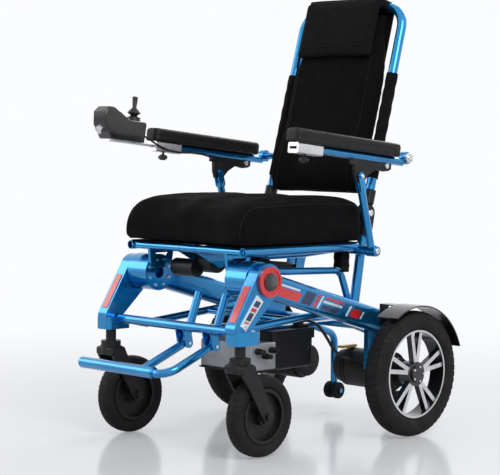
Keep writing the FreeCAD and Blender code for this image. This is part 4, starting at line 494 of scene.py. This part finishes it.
def puffed(node, name, voxel, shrink, pressure, cap, held):
    """A padded piece: cloth under pressure, held where it rests, never moving further than cap."""
    o = remeshed(node, name, voxel, shrink)
    start = [v.co.copy() for v in o.data.vertices]
    pins = o.vertex_groups.new(name="held")
    pins.add([v.index for v in o.data.vertices if held(v.co)], 1.0, "REPLACE")
    cloth = o.modifiers.new("cloth", "CLOTH")
    cloth.settings.use_pressure = True
    cloth.settings.uniform_pressure_force = pressure
    cloth.settings.vertex_group_mass = "held"
    cloth.settings.effector_weights.gravity = 0
    cloth.settings.quality = 4
    cloth.point_cache.frame_end = 20
    for n in range(1, 21):
        bpy.context.scene.frame_set(n)
    baked(o)
    bpy.context.scene.frame_set(1)
    for v, was in zip(o.data.vertices, start):
        move = v.co - was
        if move.length > cap:
            v.co = was + move.normalized() * cap
    relax = o.modifiers.new("relax", "SMOOTH")
    relax.iterations = 8
    relax.factor = 0.5
    baked(o)
    return o


def bounded(o, node, proud):
    """Keeps the piece inside its CAD solid's box, plus what fabric may stand proud."""
    low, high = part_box(node)
    for v in o.data.vertices:
        for i in range(3):
            v.co[i] = max(low[i] - proud[i], min(high[i] + proud[i], v.co[i]))


def wrinkled(o, depth, scale, stretch):
    """Soft creases along the normals, deeper where the noise is high."""
    for v in o.data.vertices:
        p = Vector((v.co[i] * stretch[i] * scale for i in range(3)))
        crease = max(0.0, noise.fractal(p, 0.6, 2.1, 4) - 0.1)
        v.co -= v.normal * crease * depth


def finished_soft(o, material, body):
    o.data.materials.clear()
    o.data.materials.append(material)
    for p in o.data.polygons:
        p.use_smooth = True
        p.material_index = 0
    sub = o.modifiers.new("sub", "SUBSURF")
    sub.levels = 1
    sub.render_levels = 1
    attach(o, body)
    return o


def loop_on(o, origin, directions, proud=0.0004):
    """Points where rays out from the origin leave the piece, for a seam that follows its form."""
    tree = BVHTree.FromObject(o, bpy.context.evaluated_depsgraph_get())
    points = []
    for start, way in directions(Vector(origin)):
        hit = tree.ray_cast(start + way * 0.8, -way)
        if hit[0]:
            points.append(hit[0] + hit[1] * proud)
    return points


def side_ring(steps):
    def directions(origin):
        for i in range(steps):
            turn = 2 * math.pi * i / steps
            yield origin, Vector((0, math.cos(turn), math.sin(turn)))
    return directions


low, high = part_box("seat_cushion")
seat = puffed("seat_cushion", "seat_pad", 0.007, 0.003, 3.0, 0.007, lambda co: co.z < low.z + 0.006)
wrinkled(seat, 0.0022, 7.0, (1, 0.8, 0.5))
bounded(seat, "seat_cushion", (0.002, 0.002, 0.0))
finished_soft(seat, FABRIC, "chassis")
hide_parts("seat_cushion")
seat_seams = []
for x in (low.x + 0.017, high.x - 0.017):
    points = loop_on(seat, (x, (low.y + high.y) / 2, (low.z + high.z) / 2), side_ring(120), 0.0)
    seat_seams.append(tube_line("seat_seam_" + str(len(seat_seams)), points, 0.0016, PIPING, "chassis", True))
for o in [seat] + seat_seams:
    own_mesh(o)

back = puffed("back_cushion", "back_pad", 0.006, 0.002, 3.0, 0.006, lambda co: False)
wrinkled(back, 0.0020, 6.0, (1, 1, 0.45))
bounded(back, "back_cushion", (0.0, 0.003, 0.002))
finished_soft(back, FABRIC, "backrest")
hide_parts("back_cushion")


def back_point(x, up, ahead):
    """A point on the leaned back: across, up along it from the fold, and forward of it."""
    y = FOLD.y + up * math.sin(RECLINE) - ahead * math.cos(RECLINE)
    z = FOLD.z + up * math.cos(RECLINE) + ahead * math.sin(RECLINE)
    return Vector((x, y, z))


def front_line(xs, ups):
    """Rays that meet the back's front face along a line."""
    way = Vector((0, -math.cos(RECLINE), math.sin(RECLINE)))

    def directions(_origin):
        for x, up in zip(xs, ups):
            yield back_point(x, up, 0.0), way
    return directions


for n, sign in enumerate((1, -1)):
    ups = [0.06 + 0.47 * i / 60 for i in range(61)]
    xs = [sign * (0.124 - 0.030 * max(0.0, (up - 0.36) / 0.17) ** 1.5) for up in ups]
    tube_line("back_seam_%d" % n, loop_on(back, (0, 0, 0), front_line(xs, ups)), 0.0014, PIPING, "backrest")

pillow = puffed("head_pillow", "head_pad", 0.0035, 0.0015, 2.0, 0.004, lambda co: False)
wrinkled(pillow, 0.0016, 10.0, (1, 1, 0.6))
bounded(pillow, "head_pillow", (0.001, 0.002, 0.001))
finished_soft(pillow, SIDE_FABRIC, "backrest")
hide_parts("head_pillow")
edge = loop_on(pillow, (0, 0, 0), front_line([-0.116 + 0.232 * i / 50 for i in range(51)], [0.432] * 51))
tube_line("pillow_hem", edge, 0.0012, PIPING, "backrest")


def panel(name, corner, across, up, normal, steps, thick, relief, material, body):
    """A sewn sheet with real thickness, wavy by the relief, from its corner along two edges."""
    n, m = steps
    grid = []
    for layer in (0, 1):
        for i in range(n + 1):
            for j in range(m + 1):
                p = Vector(corner) + across * (i / n) + up * (j / m)
                grid.append(p + normal * (thick * layer + relief(i / n, j / m)))
    w = m + 1
    top = (n + 1) * w
    faces = []
    for i in range(n):
        for j in range(m):
            a = i * w + j
            faces.append((a, a + 1, a + w + 1, a + w))
            faces.append((top + a, top + a + w, top + a + w + 1, top + a + 1))
    rim = [i * w for i in range(n + 1)] + [n * w + j for j in range(1, m + 1)]
    rim += [i * w + m for i in range(n - 1, -1, -1)] + [j for j in range(m - 1, 0, -1)]
    for k, a in enumerate(rim):
        b = rim[(k + 1) % len(rim)]
        faces.append((a, b, top + b, top + a))
    return add_mesh(name, grid, faces, material, body)


SHEET_LOW = 0.092
SLEEVE_LENGTH = 0.280
lean = Vector((0, math.sin(RECLINE), math.cos(RECLINE)))
behind = Vector((0, math.cos(RECLINE), -math.sin(RECLINE)))


def back_relief(u, v):
    """Slack vertical folds that deepen toward the middle, and a stitched hem round the edge."""
    fade = math.sin(math.pi * u) * math.sin(math.pi * v)
    folds = 0.0018 * math.sin(u * 26 + 2.2 * math.sin(v * 5)) * fade
    near = min(u, 1 - u, v, 1 - v)
    return folds + (0.0008 if near < 0.035 else 0.0)


sheet = panel("back_sheet", back_point(-0.131, SHEET_LOW, -0.0085), Vector((0.262, 0, 0)), lean * 0.458, behind,
              (70, 60), 0.0024, back_relief, SIDE_FABRIC, "backrest")
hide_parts("back_panel")


def sleeve_folds(turn, along, radius):
    return 0.0007 * math.sin(along * 150 + 2 * math.sin(turn * 2)) * math.sin(along * 7) if radius > 0.0135 else 0.0


for side, sign in SIDES:
    start = back_point(sign * BACK_TUBE_X, SHEET_LOW, 0.0)
    profile = [(0.0, 0.0127), (0.0, 0.0152)] + [(SLEEVE_LENGTH * k / 60, 0.0150) for k in range(1, 60)]
    profile += [(SLEEVE_LENGTH, 0.0152), (SLEEVE_LENGTH, 0.0127)]
    sleeve = lathe("back_sleeve_" + side, start, lean, profile, SIDE_FABRIC, "backrest", 36, sleeve_folds)


def strap_relief(u, v):
    return 0.0008 * math.sin(v * 22 + 3 * u)


def sling_relief(u, v):
    return -0.0004 if min(u, 1 - u, v, 1 - v) > 0.04 else 0.0


sling = panel("seat_sling", (-0.206, -0.510, 0.4932), Vector((0.412, 0, 0)), Vector((0, 0.396, 0)),
              Vector((0, 0, 1)), (30, 30), 0.0014, sling_relief, SIDE_FABRIC, "chassis")
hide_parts("seat_fabric")
for side, sign in SIDES:
    x = sign * 0.172
    for n, offset in enumerate((-0.013, 0.0112)):
        strap = panel("seat_strap_%s_%d" % (side, n), (x + offset, -0.152, 0.418), Vector((0, 0.030, 0)),
                      Vector((0, 0, 0.075)), Vector((1, 0, 0)), (10, 24), 0.0018, strap_relief, SIDE_FABRIC, "chassis")

# Armrest pads: moulded foam with a pinched edge


def arm_pad(side, sign):
    o = remeshed("arm_pads", "arm_pad_" + side, 0.0035, 0.0)
    bm = bmesh.new()
    bm.from_mesh(o.data)
    bmesh.ops.delete(bm, geom=[v for v in bm.verts if v.co.x * sign < 0], context="VERTS")
    bm.to_mesh(o.data)
    bm.free()
    up = Vector((0, math.sin(ARM_SLOPE), math.cos(ARM_SLOPE)))
    middle = Vector((sign * 0.250, -0.215, 0.743))
    for v in o.data.vertices:
        rise = (v.co - middle).dot(up)
        across = abs(v.co.x - middle.x)
        if abs(rise + 0.004) < 0.0022 and across > 0.02:
            v.co.x -= math.copysign(0.0007, v.co.x - middle.x)
        if rise > 0.012:
            v.co -= up * 0.0016 * (across / 0.029) ** 3
    finished_soft(o, SKIN, "armrests")
    return o


pads = [arm_pad("left", 1), arm_pad("right", -1)]
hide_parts("arm_pads")


# Joystick: knob, stick and folded bellows

foot = Vector((-0.250, -0.4672, 0.7924))
lean_arm = Vector((0, math.sin(ARM_SLOPE), math.cos(ARM_SLOPE)))
stick_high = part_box("joystick")[1]
stick_top = stick_high.z - foot.z + 0.007
BALL = 0.0165
knob = [(0.0168, 0.0), (0.0163, 0.0042), (0.01455, 0.0084), (0.0160, 0.0095), (0.0205, 0.0164), (0.0214, 0.0169),
        (0.0226, 0.0162), (0.0290, 0.0112), (0.0330, 0.0072), (0.0350, 0.0052), (stick_top - 0.006, 0.0070),
        (stick_top - 0.001, 0.0068), (stick_top, 0.0050), (stick_top, 0.0)]
knob_piece = lathe("joystick_knob", foot, lean_arm, knob, SOFT_RUBBER, "stick", 40)
bellows = [(0.0006, 0.0), (0.0006, 0.0180), (0.0026, 0.0186), (0.0050, 0.0155), (0.0092, 0.0180), (0.0100, 0.0172)]
for k in range(9):
    turn = math.radians(42 + 48 * k / 8)
    bellows.append((BALL * math.sin(turn), BALL * math.cos(turn)))
boot = lathe("joystick_bellows", foot, lean_arm, bellows, SOFT_RUBBER, "gimbal", 48)
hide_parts("joystick")
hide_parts("joystick_boot")

# Screws and pins that show, each sunk a little into its face

SUNK = 0.0005
knuckle_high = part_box("lower_knuckles")[1]
post_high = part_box("arm_posts")[1]
trim_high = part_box("strut_trim")[1]
for side, sign in SIDES:
    bolt("fold_screw_" + side, (sign * (knuckle_high.x - SUNK), FOLD.y, FOLD.z), (sign, 0, 0), 0.0085, "chassis")
    bolt("post_screw_" + side, (sign * (post_high.x - SUNK), *POST_TOP), (sign, 0, 0), 0.0055, "posts", 0.003)
    bolt("arm_cap_screw_" + side, (sign * (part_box("arm_pivot_tube")[1].x - SUNK), *ARM_PIVOT), (sign, 0, 0),
         0.0075, "backrest", 0.003)
    bolt("pivot_cap_screw_" + side, (sign * (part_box("pivot_tube")[1].x - SUNK), *BASE_PIVOT), (sign, 0, 0),
         0.0075, "chassis", 0.003)
    lathe("hub_badge_" + side, (sign * (trim_high.x - 0.0002), HUB.y, HUB.z), (sign, 0, 0),
          [(0.0, 0.0), (0.0, 0.0215), (0.0008, 0.0208), (0.0008, 0.0)], GLOSS, BODY["strut_trim"], 48)
    strut_end = HUB + (STRUT_FOOT - HUB) * 0.93
    bolt("strut_screw_" + side, (sign * 0.2438, strut_end.y, strut_end.z), (sign, 0, 0), 0.0070,
         BODY["strut_" + side], 0.0045)
    for n in range(5):
        turn = 2 * math.pi * n / 5
        y, z = 0.019 * math.cos(turn), WHEEL_Z + 0.019 * math.sin(turn)
        bolt("wheel_screw_%s_%d" % (side, n), (sign * (WHEEL_X + 0.0268), y, z), (sign, 0, 0), 0.0030,
             "rear_wheel_" + side, 0.0015)


# Generic foil stripes on the outer faces of the beams and the legs, with no lettering

def foil(name, body, x, origin, along, up, outline, material):
    """A thin decal: outline in (along, up) from the origin, just proud of the face at x."""
    sign = math.copysign(1, x)
    points = []
    for rise in (0.0, 0.00035):
        for a, b in outline:
            p = origin + along * a + up * b
            points.append((x + sign * rise, p.y, p.z))
    n = len(outline)
    faces = [tuple(range(n)), tuple(range(2 * n - 1, n - 1, -1))]
    for i in range(n):
        k = (i + 1) % n
        faces.append((i, k, n + k, n + i))
    return add_mesh(name, points, faces, material, body, False)


beam_way = Vector((0, math.cos(BEAM_FALL), -math.sin(BEAM_FALL)))
beam_up = Vector((0, math.sin(BEAM_FALL), math.cos(BEAM_FALL)))
STRIPES = ((0.070, 0.150, -0.019, 0.004, RED), (0.070, 0.150, 0.007, 0.012, WHITE),
           (0.160, 0.196, -0.019, 0.015, NAVY), (0.204, 0.214, -0.019, 0.015, RED),
           (0.220, 0.226, -0.019, 0.015, WHITE), (0.234, 0.300, -0.019, -0.006, NAVY),
           (0.240, 0.312, -0.001, 0.005, WHITE), (0.246, 0.318, 0.009, 0.015, RED),
           (0.330, 0.338, -0.016, 0.012, WHITE), (0.346, 0.378, -0.014, 0.008, RED),
           (0.386, 0.392, -0.012, 0.008, WHITE))
leg_way = (STRUT_FOOT - HUB).normalized()
leg_up = Vector((0, leg_way.z, -leg_way.y))
for side, sign in SIDES:
    for n, (a, b, low_b, high_b, material) in enumerate(STRIPES):
        skew = (high_b - low_b) * 0.45
        outline = ((a, low_b), (b, low_b), (b + skew, high_b), (a + skew, high_b))
        foil("beam_foil_%s_%d" % (side, n), "chassis", sign * 0.20605, HUB, beam_way, beam_up, outline, material)
    x = sign * (0.244 + 0.0021)
    for n, (a, b, w, material) in enumerate(((0.054, 0.070, 0.008, NAVY), (0.074, 0.084, 0.008, RED),
                                             (0.088, 0.110, 0.007, NAVY), (0.114, 0.118, 0.007, RED))):
        outline = ((a, -w), (b, -w), (b + w * 0.7, w), (a + w * 0.7, w))
        foil("leg_foil_%s_%d" % (side, n), "front_legs", x, HUB, leg_way, leg_up, outline, material)


# Stage, light and camera

def stage_mesh(name, points, faces, material):
    mesh = bpy.data.meshes.new(name)
    mesh.from_pydata(points, [], faces)
    mesh.materials.append(material)
    o = bpy.data.objects.new(name, mesh)
    bpy.context.scene.collection.objects.link(o)


def floor_finish():
    """Pale glossy floor that keeps the shadow near the chair and fades to the white backdrop."""
    m = surface("floor", (0.80, 0.81, 0.835), (0.79, 0.80, 0.825), (0.13, 0.17), 0, 0.0, 0, 0.8)
    tree = m.node_tree
    place = tree.nodes.new("ShaderNodeNewGeometry").outputs["Position"]
    reach = tree.nodes.new("ShaderNodeVectorMath")
    reach.operation = "LENGTH"
    wire(tree, place, reach.inputs[0])
    fade = tree.nodes.new("ShaderNodeMapRange")
    fade.interpolation_type = "SMOOTHSTEP"
    for key, number in (("From Min", 0.7), ("From Max", 2.6), ("To Min", 0.25), ("To Max", 1.0)):
        fade.inputs[key].default_value = number
    wire(tree, reach.outputs["Value"], fade.inputs["Value"])
    seen = tree.nodes.new("ShaderNodeLightPath").outputs["Is Camera Ray"]
    factor = tree.nodes.new("ShaderNodeMath")
    factor.operation = "MULTIPLY"
    wire(tree, fade.outputs["Result"], factor.inputs[0])
    wire(tree, seen, factor.inputs[1])
    white = tree.nodes.new("ShaderNodeEmission")
    white.inputs["Color"].default_value = (0.97, 0.98, 1.0, 1)
    mix = tree.nodes.new("ShaderNodeMixShader")
    wire(tree, factor.outputs[0], mix.inputs[0])
    wire(tree, tree.nodes["Principled BSDF"].outputs[0], mix.inputs[1])
    wire(tree, white.outputs[0], mix.inputs[2])
    wire(tree, mix.outputs[0], tree.nodes["Material Output"].inputs["Surface"])
    return m


FLOOR = floor_finish()
stage_mesh("floor", [(-9, -9, -0.0005), (9, -9, -0.0005), (9, 9, -0.0005), (-9, 9, -0.0005)], [(0, 1, 2, 3)], FLOOR)

world = bpy.data.worlds.new("studio")
bpy.context.scene.world = world
world.use_nodes = True
tree = world.node_tree
light_path = tree.nodes.new("ShaderNodeLightPath")
either = tree.nodes.new("ShaderNodeMath")
either.operation = "MAXIMUM"
wire(tree, light_path.outputs["Is Camera Ray"], either.inputs[0])
wire(tree, light_path.outputs["Is Glossy Ray"], either.inputs[1])
amount = tree.nodes.new("ShaderNodeMapRange")
amount.inputs["To Min"].default_value = 0.38
amount.inputs["To Max"].default_value = 1.0
wire(tree, either.outputs[0], amount.inputs["Value"])
tree.nodes["Background"].inputs["Color"].default_value = (0.97, 0.98, 1.0, 1)
wire(tree, amount.outputs["Result"], tree.nodes["Background"].inputs["Strength"])


def lamp(name, place, target, power, wide, tall, colour=(1, 1, 1)):
    data = bpy.data.lights.new(name, "AREA")
    data.shape = "RECTANGLE"
    data.size = wide
    data.size_y = tall
    data.energy = power
    data.color = colour
    o = bpy.data.objects.new(name, data)
    bpy.context.scene.collection.objects.link(o)
    o.location = place
    o.rotation_euler = (Vector(target) - Vector(place)).to_track_quat("-Z", "Y").to_euler()


lamp("key", (2.6, -1.2, 2.6), (0, -0.2, 0.5), 62, 1.6, 1.6)
lamp("fill", (-2.6, -2.4, 1.8), (0, -0.2, 0.5), 26, 2.2, 1.6)
lamp("rim", (-0.8, 2.6, 2.4), (0, 0, 0.7), 34, 1.8, 1.0)

camera = bpy.data.objects.new("camera", bpy.data.cameras.new("camera"))
bpy.context.scene.collection.objects.link(camera)
bpy.context.scene.camera = camera
camera.data.sensor_width = 36
camera.data.lens = 116.7
camera.data.clip_end = 60
azimuth, elevation, roll = (math.radians(a) for a in (44.757, 3.221, 0.595))
away = Vector((math.sin(azimuth) * math.cos(elevation), -math.cos(azimuth) * math.cos(elevation),
               math.sin(elevation)))
level = Vector((math.cos(azimuth), math.sin(azimuth), 0))
upward = away.cross(level)
right = level * math.cos(roll) + upward * math.sin(roll)
turned = Matrix((right, away.cross(right), away)).transposed().to_4x4()
camera.matrix_world = Matrix.Translation((2.882, -3.199, 0.732)) @ turned

bpy.context.scene.view_settings.view_transform = "Standard"
bpy.context.view_layer.update()
